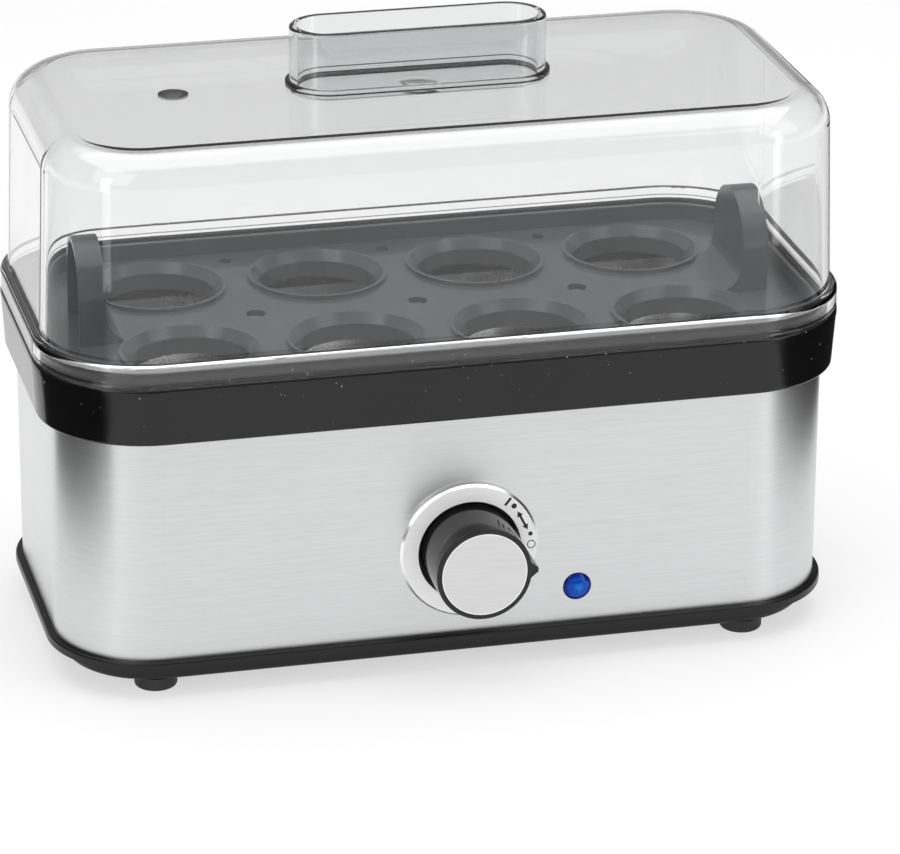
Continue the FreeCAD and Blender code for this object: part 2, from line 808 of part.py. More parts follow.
def heat_shield():
    """Sheet shield under the heater, with turned-up long edges and a window for a lead."""
    half_length = shield_post_x + shield_end_margin
    half_depth = shelf_side_y + shield_side_margin
    half_edge = half_length - shield_edge_setback
    plate = box(-half_length, half_length, -half_depth, half_depth, z_shield, z_shield_top)
    edges = [box(-half_edge, half_edge, y, y + shield_sheet, z_shield, z_shield + shield_edge_height)
             for y in (-half_depth, half_depth - shield_sheet)]
    holes = [rod(shield_hole_radius, x, y, z_shield, z_shield_top) for x, y in shield_post_places]
    window = rod(shield_window_radius, window_x, 0, z_shield, z_shield_top)
    room_for_well = axle(well_outer_radius + fit_gap, dial_x, dial_z, y_jacket, y_control + fit_gap)
    return without(fused([plate] + edges), holes + [window, room_for_well])


def shield_screws():
    """Pan-head screws that hold the heat shield to its four posts."""
    screws = []
    z_face = z_shield - shield_screw_head_height
    for x, y in shield_post_places:
        head = rod(shield_screw_head_radius, x, y, z_face, z_shield)
        shank = rod(shield_screw_radius, x, y, z_shield - join, z_shield_top + shield_screw_bite)
        slot = block(x, y, 2 * shield_screw_head_radius, recess_width, z_face, z_face + slot_depth)
        screws.append(fused([head, shank]).cut(slot))
    return Part.makeCompound(screws)


# ---------------------------------------------------------------- dial and control
def dial_ring():
    """Silver ring around the knob with a bevelled edge and a neck through the jacket."""
    disc = axle(ring_radius, dial_x, dial_z, y_ring_face, y_jacket)
    disc = disc.makeChamfer(ring_bevel, edges_in_plane(disc, y_ring_face))
    neck = axle(ring_neck_radius, dial_x, dial_z, y_jacket - join, y_well_floor - fit_gap)
    return fused([disc, neck]).cut(axle(ring_bore_radius, dial_x, dial_z, y_ring_face, y_well_floor))


def control_carrier():
    """Black moulding behind the jacket: the dial's well, the lamp's socket and the board's posts."""
    plate = box(board_left, board_right, y_carrier, y_carrier_back, boss_top, z_board_top + board_edge)
    well = axle(well_outer_radius, dial_x, dial_z, y_carrier, y_control)
    y_socket = y_carrier_back + socket_reach
    socket = axle(lens_stem_radius + snug_gap + socket_wall, lamp_x, lamp_z, y_carrier, y_socket)
    posts = [axle(post_radius, x, z, y_carrier_back - join, y_board) for x, z in post_places]
    cuts = [axle(well_radius, dial_x, dial_z, y_carrier, y_well_floor),
            axle(bushing_radius + fit_gap, dial_x, dial_z, y_well_floor, y_control),
            axle(lens_stem_radius + snug_gap, lamp_x, lamp_z, y_carrier, y_socket)]
    y_pilot = y_board - board_screw_bite - pilot_end_gap
    cuts += [axle(board_screw_radius + press_gap, x, z, y_pilot, y_board) for x, z in post_places]
    return without(fused([plate, well, socket] + posts), cuts)


def dial_control():
    """Rotary control on the board: square housing and a bushing that the shaft turns in."""
    half = control_size / 2
    body = box(dial_x - half, dial_x + half, y_control + snug_gap, y_board, dial_z - half, dial_z + half)
    y_tip = y_well_floor - bushing_reach
    bushing = axle(bushing_radius, dial_x, dial_z, y_tip, y_control + join)
    bore = axle(shaft_radius + shaft_gap, dial_x, dial_z, y_tip, y_board - control_back)
    return fused([body, bushing]).cut(bore)


def control_nut():
    """Hexagonal nut that clamps the control's bushing to the well's floor."""
    nut = hexagon(control_nut_flats, control_nut_height, V(dial_x, y_well_floor, dial_z), FRONT)
    return nut.cut(axle(bushing_radius, dial_x, dial_z, y_well_floor - control_nut_height, y_well_floor))


def shaft_flat(depth):
    """What the flat on the shaft's outer end takes off a round of the shaft's size."""
    y_tip = y_knob_face + shaft_inset
    reach = shaft_radius + join
    return box(dial_x - reach, dial_x + reach, y_tip - join, y_tip + shaft_flat_length,
               dial_z + shaft_radius - depth, dial_z + reach)


def control_shaft():
    """Shaft that carries the knob, with a flat on its outer end."""
    y_end = y_board - control_back - shaft_end_gap
    shaft = axle(shaft_radius, dial_x, dial_z, y_knob_face + shaft_inset, y_end)
    return shaft.cut(shaft_flat(shaft_flat_depth))


def knob():
    """Black dial knob: a deep cup with a hub for the shaft, a recess for its cap and a pointer rib."""
    body = axle(knob_radius, dial_x, dial_z, y_knob_face, y_knob_tail)
    body = body.makeFillet(knob_edge_radius, edges_in_plane(body, y_knob_face))
    root, tip = knob_radius - join, knob_radius + pointer_rise
    y_rib = y_knob_face + pointer_setback
    corners = []
    for angle, reach in ((-pointer_half_angle, root), (-pointer_tip_half_angle, tip),
                         (pointer_tip_half_angle, tip), (pointer_half_angle, root)):
        turn = math.radians(angle)
        corners.append(V(dial_x + reach * math.cos(turn), y_rib, dial_z + reach * math.sin(turn)))
    rib_length = knob_reach - pointer_setback - pointer_tail_gap
    rib = Part.Face(Part.makePolygon(corners + corners[:1])).extrude(V(0, rib_length, 0))
    y_hollow = y_knob_face + knob_face_thickness
    hollow = axle(knob_radius - knob_wall, dial_x, dial_z, y_hollow, y_knob_tail)
    hub = axle(shaft_radius + knob_hub_wall, dial_x, dial_z, y_hollow - join, y_jacket - knob_hub_gap)
    recess = axle(knob_cap_radius + press_gap, dial_x, dial_z, y_knob_face, y_knob_face + knob_cap_thickness)
    bore = axle(shaft_radius + press_gap, dial_x, dial_z, y_knob_face + shaft_inset - snug_gap, y_knob_tail)
    key = shaft_flat(shaft_flat_depth - press_gap)
    return fused([fused([body, rib]).cut(hollow), hub]).cut(recess).cut(bore.cut(key))


def knob_cap():
    """Brushed metal disc pressed into the knob's face."""
    return axle(knob_cap_radius, dial_x, dial_z, y_knob_face + press_gap, y_knob_face + knob_cap_thickness)


def indicator_lens():
    """Domed blue lens with a stem through the jacket."""
    y_top = y_jacket - lens_dome
    sphere_radius = cap_of_sphere(lens_radius, lens_dome)
    sphere = Part.makeSphere(sphere_radius, V(lamp_x, y_top + sphere_radius, lamp_z))
    dome = sphere.common(axle(lens_radius, lamp_x, lamp_z, y_top - join, y_jacket))
    stem = axle(lens_stem_radius, lamp_x, lamp_z, y_jacket - join, y_jacket_inside + lens_stem_reach)
    return fused([dome, stem])


def indicator_led():
    """Light-emitting diode behind the lens, with two legs to the board."""
    y_base = y_led + led_length
    bulb = axle(led_radius, lamp_x, lamp_z, y_led, y_base)
    legs = [axle(led_leg_radius, x, lamp_z, y_base - join, y_board)
            for x in (lamp_x - led_leg_pitch / 2, lamp_x + led_leg_pitch / 2)]
    return fused([bulb] + legs)


def control_board():
    """Circuit board on the carrier's posts."""
    board = box(board_left, board_right, y_board, y_board_back, lamp_z - board_low, z_board_top)
    holes = [axle(board_hole_radius, x, z, y_board, y_board_back) for x, z in post_places]
    return without(board, holes)


def board_screws():
    """Four small screws that hold the board to its posts."""
    screws = []
    for x, z in post_places:
        head = axle(board_screw_head_radius, x, z, y_board_back, y_board_back + board_screw_head_height)
        shank = axle(board_screw_radius, x, z, y_board - board_screw_bite, y_board_back + join)
        screws.append(fused([head, shank]))
    return Part.makeCompound(screws)


def relay():
    """Switching relay on the board's back."""
    x0, z0 = dial_x - relay_left, dial_z - relay_low
    y_top = y_board_back + relay_depth
    case = box(x0, x0 + relay_width, y_board_back, y_top, z0, z0 + relay_height)
    return case.makeFillet(component_edge_radius, edges_in_plane(case, y_top))


def capacitor():
    """Supply capacitor on the board's back."""
    y_top = y_board_back + capacitor_height
    can = axle(capacitor_radius, dial_x + capacitor_right, dial_z + capacitor_high, y_board_back, y_top)
    return can.makeFillet(component_edge_radius, edges_in_plane(can, y_top))


def buzzer():
    """Sounder that tells when the eggs are done: a round case with a sound hole."""
    x, z = lamp_x - buzzer_left, lamp_z + buzzer_high
    y_top = y_board_back + buzzer_height
    case = axle(buzzer_radius, x, z, y_board_back, y_top)
    return case.cut(axle(buzzer_hole_radius, x, z, y_top - buzzer_hole_depth, y_top))


# ---------------------------------------------------------------- mains inlet and leads
def cord_gland():
    """Grommet in the back of the jacket that the mains cord passes through."""
    flange = axle(gland_flange_radius, gland_x, gland_z, y_back, y_gland_face)
    flange = flange.makeFillet(gland_flange_edge_radius, edges_in_plane(flange, y_gland_face))
    neck = axle(gland_neck_radius, gland_x, gland_z, y_gland_end, y_back + join)
    y_keeper_end = y_gland_keeper - gland_keeper_thickness
    keeper = axle(gland_keeper_radius, gland_x, gland_z, y_keeper_end, y_gland_keeper)
    bore = axle(gland_bore_radius, gland_x, gland_z, y_gland_end, y_gland_face)
    return fused([flange, neck, keeper]).cut(bore)


def terminal_block():
    """Three-way screw terminal block on the pan's floor."""
    z_top = z_pan_floor + block_height
    y0, y1 = block_y - block_depth / 2, block_y + block_depth / 2
    housing = block(gland_x, block_y, block_length, block_depth, z_pan_floor, z_top)
    cuts = [axle(terminal_bore_radius, x, z_pan_floor + terminal_bore_z, y0, y1) for x in terminal_places]
    z_well = z_top - terminal_well_depth
    cuts += [rod(terminal_well_radius, x, block_y, z_well, z_top) for x in terminal_places]
    return without(housing, cuts)


def terminal_screws():
    """Clamping screws in the terminal block."""
    z0 = z_pan_floor + block_height - terminal_well_depth
    z1 = z0 + terminal_screw_height
    radius = terminal_well_radius - snug_gap
    screws = []
    for x in terminal_places:
        slot = block(x, block_y, 2 * radius, terminal_screw_slot, z1 - slot_depth, z1)
        screws.append(rod(radius, x, block_y, z0, z1).cut(slot))
    return Part.makeCompound(screws)


def earth_tag():
    """Blade tag welded under the shield for the earth lead."""
    return block(shield_post_x, tag_y, tag_width, tag_length, z_shield - tag_thickness, z_shield)


def terminal_end(k):
    """Where a lead leaves terminal k on the block's inner side."""
    return V(terminal_places[k], block_y - block_depth / 2, z_pan_floor + terminal_bore_z)


def lead_to_board(start, end, first_run, board_run, rise):
    """A lead that runs forwards from the block, across at a slight rise, up, and straight into the board."""
    turn_y = end.y + board_run
    return tube([start, V(start.x, start.y - first_run, start.z), V(end.x, turn_y, start.z + rise),
                 V(end.x, turn_y, end.z), end], lead_bend)


def lead_live():
    """From the terminal block to the control board."""
    end = V(dial_x + live_right, y_board_back, dial_z - live_low)
    return lead_to_board(terminal_end(0), end, first_run=9.0, board_run=14.0, rise=2.0)


def lead_neutral():
    """From the terminal block to the control board, beside the live lead."""
    end = V(dial_x + neutral_right, y_board_back, dial_z - neutral_low)
    return lead_to_board(terminal_end(1), end, first_run=16.0, board_run=12.0, rise=-1.0)


def lead_return():
    """From the control board to the heater's rear pin."""
    first_run, last_run = 20.0, 8.0
    start = V(dial_x - post_left, y_board_back, dial_z - return_low)
    end = V(pin_end, element_row, z_element)
    return tube([start, V(start.x, start.y + first_run, start.z), V(end.x - last_run, end.y, start.z),
                 V(end.x - last_run, end.y, end.z), end], lead_bend)


def lead_earth():
    """From the terminal block to the shield's earth tag."""
    first_run, rise, last_run = 6.0, 12.0, 10.0
    start = terminal_end(2)
    end = V(shield_post_x, tag_y, z_shield - tag_thickness)
    turn_y = start.y - first_run
    return tube([start, V(start.x, turn_y, start.z), V(end.x, turn_y, start.z + rise),
                 V(end.x, end.y, end.z - last_run), end], tight_bend)


def lead_switched():
    """From the control board, up through the shield's window, to the thermostat."""
    first_run, rise = 12.0, 12.0
    start = V(dial_x - post_left, y_board_back, dial_z)
    end = V(thermostat_x - blade_reach, 0, z_blade)
    return tube([start, V(start.x, start.y + first_run, start.z), V(window_x, 0, z_shield - rise),
                 V(window_x, 0, end.z), end], tight_bend)


def lead_fuse():
    """From the thermostat to the thermal fuse."""
    straight = 9.0
    start = V(thermostat_x + blade_reach, 0, z_blade)
    end = V(fuse_start, 0, z_fuse)
    corners = [V(start.x + straight, 0, start.z), V(end.x - straight, 0, end.z)]
    return tube([start] + corners + [end], fuse_lead_bend)


def lead_heater():
    """From the thermal fuse, low over the shield, to the heater's front pin."""
    straight, row = 8.0, -12.0
    z_low = z_shield_top + lead_radius + 2 * fit_gap
    start = V(fuse_end, 0, z_fuse)
    end = V(pin_end, -element_row, z_element)
    return tube([start, V(start.x + straight, 0, start.z), V(start.x + straight, row, z_low),
                 V(end.x - straight, row, z_low), V(end.x - straight, end.y, end.z), end], tight_bend)


# ---------------------------------------------------------------- egg tray
def tray_rim():
    """Raised rim of the tray, moulded in one with the deck."""
    rim_top = deck_top + tray_rim_rise
    rim = case_ring(tray_inset, tray_inset + tray_wall, z_deck, rim_top)
    return rim.makeFillet(tray_rim_edge_radius, edges_at(rim, rim_top))


def egg_tray():
    """Dark tray deck with two rows of round egg seats and steam holes."""
    lip_top = deck_top + seat_lip_height
    deck = case_prism(tray_inset + tray_wall, z_deck, deck_top)
    seats = [rod(seat_outer_radius, x, y, z_deck - seat_drop, deck_top) for x, y in seat_places]
    lips = [rod(seat_lip_radius, x, y, z_deck, lip_top) for x, y in seat_places]
    tray = fused([deck] + seats + lips)
    cuts = []
    for x, y in seat_places:
        cuts.append(rod(seat_radius, x, y, z_deck - seat_drop, lip_top))
        cuts.append(Part.makeCone(seat_radius, seat_radius + seat_mouth_flare, seat_mouth_depth,
                                  V(x, y, lip_top - seat_mouth_depth), Z_AXIS))
    side_y = seat_pitch_y / 2 + seat_radius + side_hole_gap
    for column in (-1, 0, 1):
        x = column * seat_pitch_x
        cuts.append(rod(middle_hole_radius, x, 0, z_deck, deck_top))
        cuts += [rod(side_hole_radius, x, y, z_deck, deck_top) for y in (-side_y, side_y)]
    return without(tray, cuts)


def tray_tab(side):
    """Hollow arched lifting tab at one end of the deck, open outwards, with a flared inner foot."""
    radius = tab_width / 2
    x0, x1 = sorted((side * tab_inner_x, side * tab_outer_x))
    legs = box(x0, x1, -radius, radius, deck_top, z_tab_arch)
    arch = bar(radius, 0, z_tab_arch, x0, x1)
    x_foot, z_foot = tab_inner_x - tab_flare_radius, deck_top + tab_flare_radius
    x2, x3 = sorted((side * x_foot, side * (tab_inner_x + join)))
    flare = box(x2, x3, -radius, radius, deck_top, z_foot)
    flare = flare.cut(axle(tab_flare_radius, side * x_foot, z_foot, -radius, radius))
    upper_half = box(x0, x1, -radius, radius, deck_top, z_tab_arch + radius)
    tab = fused([legs, arch.common(upper_half), flare])
    inner = radius - tray_wall
    x4, x5 = sorted((side * (tab_inner_x + tray_wall), side * tab_outer_x))
    hollow = [box(x4, x5, -inner, inner, deck_top, z_tab_arch), bar(inner, 0, z_tab_arch, x4, x5)]
    lips = [rod(seat_lip_radius, x, y, deck_top, z_foot) for x, y in seat_places]
    return without(tab, hollow + lips)


def tray_tab_left():
    """Lifting tab at the tray's left end."""
    return tray_tab(-1)


def tray_tab_right():
    """Lifting tab at the tray's right end."""
    return tray_tab(1)


# ---------------------------------------------------------------- lid
def lid_volume(inset, edge_radius, z_top):
    """A drafted, round-edged volume whose wall starts at this inset."""
    body = Part.makeLoft([case_wire(inset, z_skirt), case_wire(inset + lid_draft, z_top)], True)
    return body.makeFillet(edge_radius, edges_at(body, z_top))


def lid_shell():
    """Clear lid: skirt, drafted walls, round upper edge, funnel-shaped steam vent and grip opening."""
    wall_inset = lid_skirt_inset + lid_wall
    z_skirt_top = z_skirt + lid_skirt_height
    skirt = case_prism(lid_skirt_inset, z_skirt, z_skirt_top)
    skirt = skirt.makeFillet(lid_skirt_top_radius, edges_at(skirt, z_skirt_top))
    skirt = skirt.makeFillet(lid_skirt_foot_radius, edges_at(skirt, z_skirt))
    shell = fused([skirt, lid_volume(wall_inset, lid_edge_radius, z_roof)])
    z_ceiling = z_roof - lid_wall
    neck = 2 * (grip_neck - grip_neck_gap)
    return without(shell, [
        lid_volume(wall_inset + lid_wall, lid_edge_radius - lid_wall, z_ceiling),
        case_prism(lid_skirt_inset + lid_skirt_wall, z_skirt, z_upstand + lid_over_upstand),
        stadium(grip_length - neck, grip_depth - neck, z_ceiling, z_roof),
        Part.makeCone(vent_throat_radius, vent_radius, lid_wall, V(vent_x, 0, z_ceiling)),
    ])


def lid_grip():
    """Clear oval grip: an open cup with a thick wall, held in the lid's roof by a flange and a snap lip."""
    z_top, z_flange_top = z_roof + grip_height, z_roof + grip_flange_height
    z_ceiling = z_roof - lid_wall
    z_under, z_floor = z_ceiling - grip_neck_reach, z_roof - grip_floor_sink

    def oval(growth, z0, z1):
        """The grip's outline, grown all round."""
        return stadium(grip_length + 2 * growth, grip_depth + 2 * growth, z0, z1)

    wall = oval(0, z_roof, z_top)
    wall = wall.makeFillet(grip_edge_radius, edges_at(wall, z_top))
    flange = oval(grip_flange, z_roof, z_flange_top)
    flange = flange.makeFillet(grip_flange_edge_radius, edges_at(flange, z_flange_top))
    neck = oval(-grip_neck, z_under, z_roof)
    snap = oval(grip_snap - grip_neck, z_under, z_ceiling - snug_gap)
    grip = fused([wall, flange, neck, snap]).cut(oval(-grip_wall, z_floor, z_top))
    sphere_radius = cap_of_sphere(dome_radius, dome_height)
    ball = Part.makeSphere(sphere_radius, V(0, 0, z_floor + dome_height - sphere_radius))
    dome = ball.common(rod(dome_radius, 0, 0, z_floor - join, z_floor + dome_height))
    return fused([grip, dome])


# ---------------------------------------------------------------- build and write
builders = [
    base_pan, base_screws, steel_jacket, upper_frame,
    heating_dish, dish_gasket, dish_studs, dish_nuts, heat_spreader, heating_element, element_pins,
    element_insulators, thermostat, thermostat_clamp, thermal_fuse, fuse_clip, heat_shield, shield_screws,
    dial_ring, control_carrier, dial_control, control_nut, control_shaft, knob, knob_cap,
    indicator_lens, indicator_led, control_board, board_screws, relay, capacitor, buzzer,
    cord_gland, terminal_block, terminal_screws, earth_tag,
    lead_live, lead_neutral, lead_return, lead_earth, lead_switched, lead_fuse, lead_heater,
    egg_tray, tray_rim, tray_tab_left, tray_tab_right, lid_shell, lid_grip,
]


def main():
    """Builds every sub-part, moves it to the origin and writes its file."""
    os.makedirs("parts", exist_ok=True)
    shapes = {builder.__name__: builder() for builder in builders}
    shapes.update({name: foot(x, y) for name, (x, y) in zip(foot_names, foot_places)})
    for name, shape in shapes.items():
        shape.translated(to_origin).exportStep(os.path.join("parts", name + ".step"))
        volume_cm3 = shape.Volume / 1000
        print(f"{name:20s} {len(shape.Solids)} solids {volume_cm3:7.2f} cm3, valid {shape.isValid()}")


main()
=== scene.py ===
"""Dresses and lights an electric egg cooker: clear lid, dark egg tray, steel-jacketed base, dial and lamp.

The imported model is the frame. Every finish is built from nodes, and printed or stamped detail is real
geometry that rides on the body it belongs to. Lengths are in metres, +Z is up and the dial faces -Y.
"""
import logging
import math
from dataclasses import dataclass, field
from enum import Enum
from typing import Iterable, Sequence

import bmesh
import bpy
from mathutils import Matrix, Vector


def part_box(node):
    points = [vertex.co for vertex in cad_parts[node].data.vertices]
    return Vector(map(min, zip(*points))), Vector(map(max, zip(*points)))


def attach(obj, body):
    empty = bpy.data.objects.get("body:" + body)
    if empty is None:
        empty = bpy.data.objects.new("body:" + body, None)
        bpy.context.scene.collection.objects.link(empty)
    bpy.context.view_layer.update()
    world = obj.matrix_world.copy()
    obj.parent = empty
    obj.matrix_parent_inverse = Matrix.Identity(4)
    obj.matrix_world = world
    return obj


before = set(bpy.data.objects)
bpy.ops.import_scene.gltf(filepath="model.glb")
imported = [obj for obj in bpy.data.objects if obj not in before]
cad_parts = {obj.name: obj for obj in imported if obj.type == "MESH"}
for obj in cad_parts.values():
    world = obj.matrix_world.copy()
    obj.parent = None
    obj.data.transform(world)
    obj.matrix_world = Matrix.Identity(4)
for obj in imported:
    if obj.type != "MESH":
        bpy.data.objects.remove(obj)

log = logging.getLogger("egg_cooker")

MM = 0.001
TONE_STEP = (0.3, 0.7)
MOTTLE_SCALE = 38.0
MOTE_SCALE = 1300.0
MOTE_CUT = (0.85, 0.87)
DUST_GREY = (0.6, 0.6, 0.58)
HAZE_STEP = (0.42, 0.75)
HAIRLINE_STRETCH = (1400.0, 90.0, 90.0)
HAIRLINE_STEP = (0.66, 0.74)
ACRYLIC_INDEX = 1.49
SHADOW_TINT = (0.93, 0.94, 0.94)
TURN_ACROSS_GRAIN = 0.25
STRAW_TEMPER = (0.42, 0.30, 0.17)
BLUE_TEMPER = (0.16, 0.18, 0.27)
TINNED_PAD = (0.75, 0.74, 0.7)
TRACK_CELLS = (160.0, 1.0, 160.0)
PAD_CELLS = (390.0, 1.0, 390.0)
LAMP_INDEX = 1.3
LAMP_GLOW = 0.36
LAMP_DIMMING = 260.0
NODE_SMOOTHING = math.radians(24)
PIECE_SMOOTHING = math.radians(30)
CIRCLE_STEPS = 32
DOT_STEPS = 28
HEAD_LENGTH = 0.9
HEAD_OVERLAP = 0.8
SENSOR_WIDTH = 36.0
CLIP_RANGE = (0.01, 20.0)
FLOOR_REACH = 6.0
WHITE = (1.0, 1.0, 1.0)
Colour = tuple[float, float, float]
Point = tuple[float, float, float]


# ---------------------------------------------------------------- shader maths
class Signal:
    """A number, colour or vector on its way through a material's nodes."""

    def __init__(self, tree: bpy.types.NodeTree, socket: bpy.types.NodeSocket) -> None:
        """Wraps one output socket.

        Args:
            tree: The node tree that the socket belongs to.
            socket: The output that this signal reads.
        """
        self.tree = tree
        self.socket = socket

    def _math(self, operation: str, first: "Signal | float",
              second: "Signal | float | None" = None) -> "Signal":
        """Adds a Math node.

        Args:
            operation: The Math node's operation.
            first: Its first value.
            second: Its second value, where it has one.

        Returns:
            The node's result.
        """
        node = self.tree.nodes.new("ShaderNodeMath")
        node.operation = operation
        for slot, value in zip(node.inputs, (first, second)):
            if isinstance(value, Signal):
                self.tree.links.new(value.socket, slot)
            elif value is not None:
                slot.default_value = value
        return Signal(self.tree, node.outputs[0])

    def __add__(self, other: "Signal | float") -> "Signal":
        """This plus other."""
        return self._math("ADD", self, other)

    def __radd__(self, other: float) -> "Signal":
        """A number plus this."""
        return self._math("ADD", other, self)

    def __sub__(self, other: "Signal | float") -> "Signal":
        """This minus other."""
        return self._math("SUBTRACT", self, other)

    def __rsub__(self, other: float) -> "Signal":
        """A number minus this."""
        return self._math("SUBTRACT", other, self)

    def __mul__(self, other: "Signal | float") -> "Signal":
        """This times other."""
        return self._math("MULTIPLY", self, other)

    def __rmul__(self, other: float) -> "Signal":
        """A number times this."""
        return self._math("MULTIPLY", other, self)

    def __truediv__(self, other: "Signal | float") -> "Signal":
        """This divided by other."""
        return self._math("DIVIDE", self, other)

    def __rtruediv__(self, other: float) -> "Signal":
        """A number divided by this."""
        return self._math("DIVIDE", other, self)

    def __lt__(self, other: "Signal | float") -> "Signal":
        """One where this is below other, else zero."""
        return self._math("LESS_THAN", self, other)

    def root(self) -> "Signal":
        """The square root."""
        return self._math("SQRT", self)

    def size(self) -> "Signal":
        """The value without its sign."""
        return self._math("ABSOLUTE", self)

    def ramp(self, low: float, high: float) -> "Signal":
        """A smooth step from 0 at low to 1 at high.

        Args:
            low: The value that gives 0.
            high: The value that gives 1.

        Returns:
            The stepped signal.
        """
        node = self.tree.nodes.new("ShaderNodeMapRange")
        node.interpolation_type = "SMOOTHSTEP"
        self.tree.links.new(self.socket, node.inputs["Value"])
        node.inputs["From Min"].default_value = low
        node.inputs["From Max"].default_value = high
        return Signal(self.tree, node.outputs["Result"])


Value = Signal | float | Sequence[float]


class Surface:
    """The node tree of one material, with a Principled shader at its end."""

    def __init__(self, name: str) -> None:
        """Starts an empty material.

        Args:
            name: The material's name.
        """
        self.material = bpy.data.materials.new(name)
        self.material.use_nodes = True
        self.tree = self.material.node_tree
        self.tree.nodes.clear()
        self.output = self.tree.nodes.new("ShaderNodeOutputMaterial")
        self.shader = self.tree.nodes.new("ShaderNodeBsdfPrincipled")
        self.tree.links.new(self.shader.outputs[0], self.output.inputs["Surface"])
        coordinates = self.tree.nodes.new("ShaderNodeTexCoord")
        self.place = Signal(self.tree, coordinates.outputs["Object"])

    def node(self, kind: str, settings: dict[str, object] | None = None,
             inputs: dict[str | int, Value] | None = None) -> bpy.types.Node:
        """Adds any node.

        Args:
            kind: The node's type without the ShaderNode prefix.
            settings: Its properties, which are set first.
            inputs: The value or signal for each named or numbered input.

        Returns:
            The new node.
        """
        node = self.tree.nodes.new("ShaderNode" + kind)
        for name, setting in (settings or {}).items():
            setattr(node, name, setting)
        for name, value in (inputs or {}).items():
            self.feed(node.inputs[name], value)
        return node

    def feed(self, slot: bpy.types.NodeSocket, value: Value) -> None:
        """Sets or links one input.

        Args:
            slot: The input.
            value: A signal to link, or a number, colour or vector to set.
        """
        if isinstance(value, Signal):
            self.tree.links.new(value.socket, slot)
        elif isinstance(value, (int, float)):
            slot.default_value = value
        elif slot.type == "RGBA":
            slot.default_value = (*value[:3], 1.0)
        else:
            slot.default_value = tuple(value)

    def signal(self, node: bpy.types.Node, output: str | int = 0) -> Signal:
        """One output of a node."""
        return Signal(self.tree, node.outputs[output])

    def scaled(self, scales: Point) -> Signal:
        """The place on the object, stretched by a factor along each axis."""
        return self.signal(self.node("VectorMath", {"operation": "MULTIPLY"}, {0: self.place, 1: scales}))

    def noise(self, scale: float = 1.0, detail: float = 2.0, at: Signal | None = None,
              rough: float = 0.5) -> Signal:
        """Soft noise around one half.

        Args:
            scale: Repeats per metre, or per unit of at.
            detail: Octaves.
            at: The coordinates, if not the plain place on the object.
            rough: How strong the finer octaves are.

        Returns:
            The noise as a number.
        """
        node = self.node("TexNoise", {}, {"Vector": at or self.place, "Scale": scale, "Detail": detail,
                                          "Roughness": rough})
        return self.signal(node, "Fac" if "Fac" in node.outputs else 0)

    def axis(self, letter: str) -> Signal:
        """One coordinate of the place on the object."""
        return self.signal(self.node("SeparateXYZ", {}, {0: self.place}), "XYZ".index(letter))

    def blend(self, share: Value, first: Value, second: Value) -> Signal:
        """A colour between two.

        Args:
            share: 0 gives the first colour and 1 the second.
            first: A colour or a colour signal.
            second: A colour or a colour signal.

        Returns:
            The blended colour.
        """
        node = self.node("Mix", {"data_type": "RGBA"})
        self.feed(node.inputs[0], share)
        self.feed(node.inputs[6], first)
        self.feed(node.inputs[7], second)
        return Signal(self.tree, node.outputs[2])

    def bump(self, height: Signal, depth: float) -> None:
        """Raises the surface by height.

        Args:
            height: From 0 to 1.
            depth: What a height of 1 stands for, in metres.
        """
        node = self.node("Bump", {}, {"Height": height, "Distance": depth, "Strength": 1.0})
        self.feed(self.shader.inputs["Normal"], self.signal(node, "Normal"))

    def set(self, **values: Value) -> None:
        """Sets the Principled shader's inputs, with underscores for the spaces in their names."""
        for name, value in values.items():
            self.feed(self.shader.inputs[name.replace("_", " ")], value)


# ---------------------------------------------------------------- finishes
class Grain(Enum):
    """Which way the fine lines of a brushed metal run."""

    AROUND = (95.0, 95.0, 3800.0)
    ALONG_X = (40.0, 3400.0, 4200.0)


made_materials: dict[str, bpy.types.Material] = {}


@dataclass(frozen=True)
class Finish:
    """How one kind of surface looks.

    Attributes:
        name: The material's name.
        colour: Its base colour.
        roughness: Its mean roughness.
    """

    name: str
    colour: Colour
    roughness: float

    def material(self) -> bpy.types.Material:
        """The finish's material, built once."""
        if self.name not in made_materials:
            made_materials[self.name] = self.build()
        return made_materials[self.name]

    def build(self) -> bpy.types.Material:
        """Builds the material's nodes."""
        raise NotImplementedError

    def tinted(self, amount: float) -> Colour:
        """The base colour made lighter or darker by a factor."""
        return tuple(min(1.0, channel * amount) for channel in self.colour)


@dataclass(frozen=True)
class Plastic(Finish):
    """Moulded plastic: a faint mottle, fine texture and a few dust motes.

    Attributes:
        texture: Size of the mould's texture, in metres.
        depth: Depth of that texture, in metres.
        coat: Weight of the clear gloss on top.
        dust: How much of the dust shows, from 0 to 1.
        gloss: Index of refraction, which sets how much the surface mirrors.
    """

    texture: float = 0.6 * MM
    depth: float = 0.0015 * MM
    coat: float = 0.0
    dust: float = 0.0
    gloss: float = 1.45

    def build(self) -> bpy.types.Material:
        """Builds the mottled, textured plastic."""
        s = Surface(self.name)
        mottle = s.noise(MOTTLE_SCALE, 3.0)
        grain = s.noise(1.0 / self.texture, 3.0)
        motes = s.noise(MOTE_SCALE, 0.0).ramp(*MOTE_CUT) * self.dust
        base = s.blend(mottle.ramp(*TONE_STEP), self.tinted(0.86), self.tinted(1.14))
        s.set(Base_Color=s.blend(motes, base, DUST_GREY),
              Roughness=self.roughness + (mottle - 0.5) * 0.12 + motes * 0.4,
              Coat_Weight=self.coat, Coat_Roughness=0.06, IOR=self.gloss)
        s.bump(grain, self.depth)
        return s.material


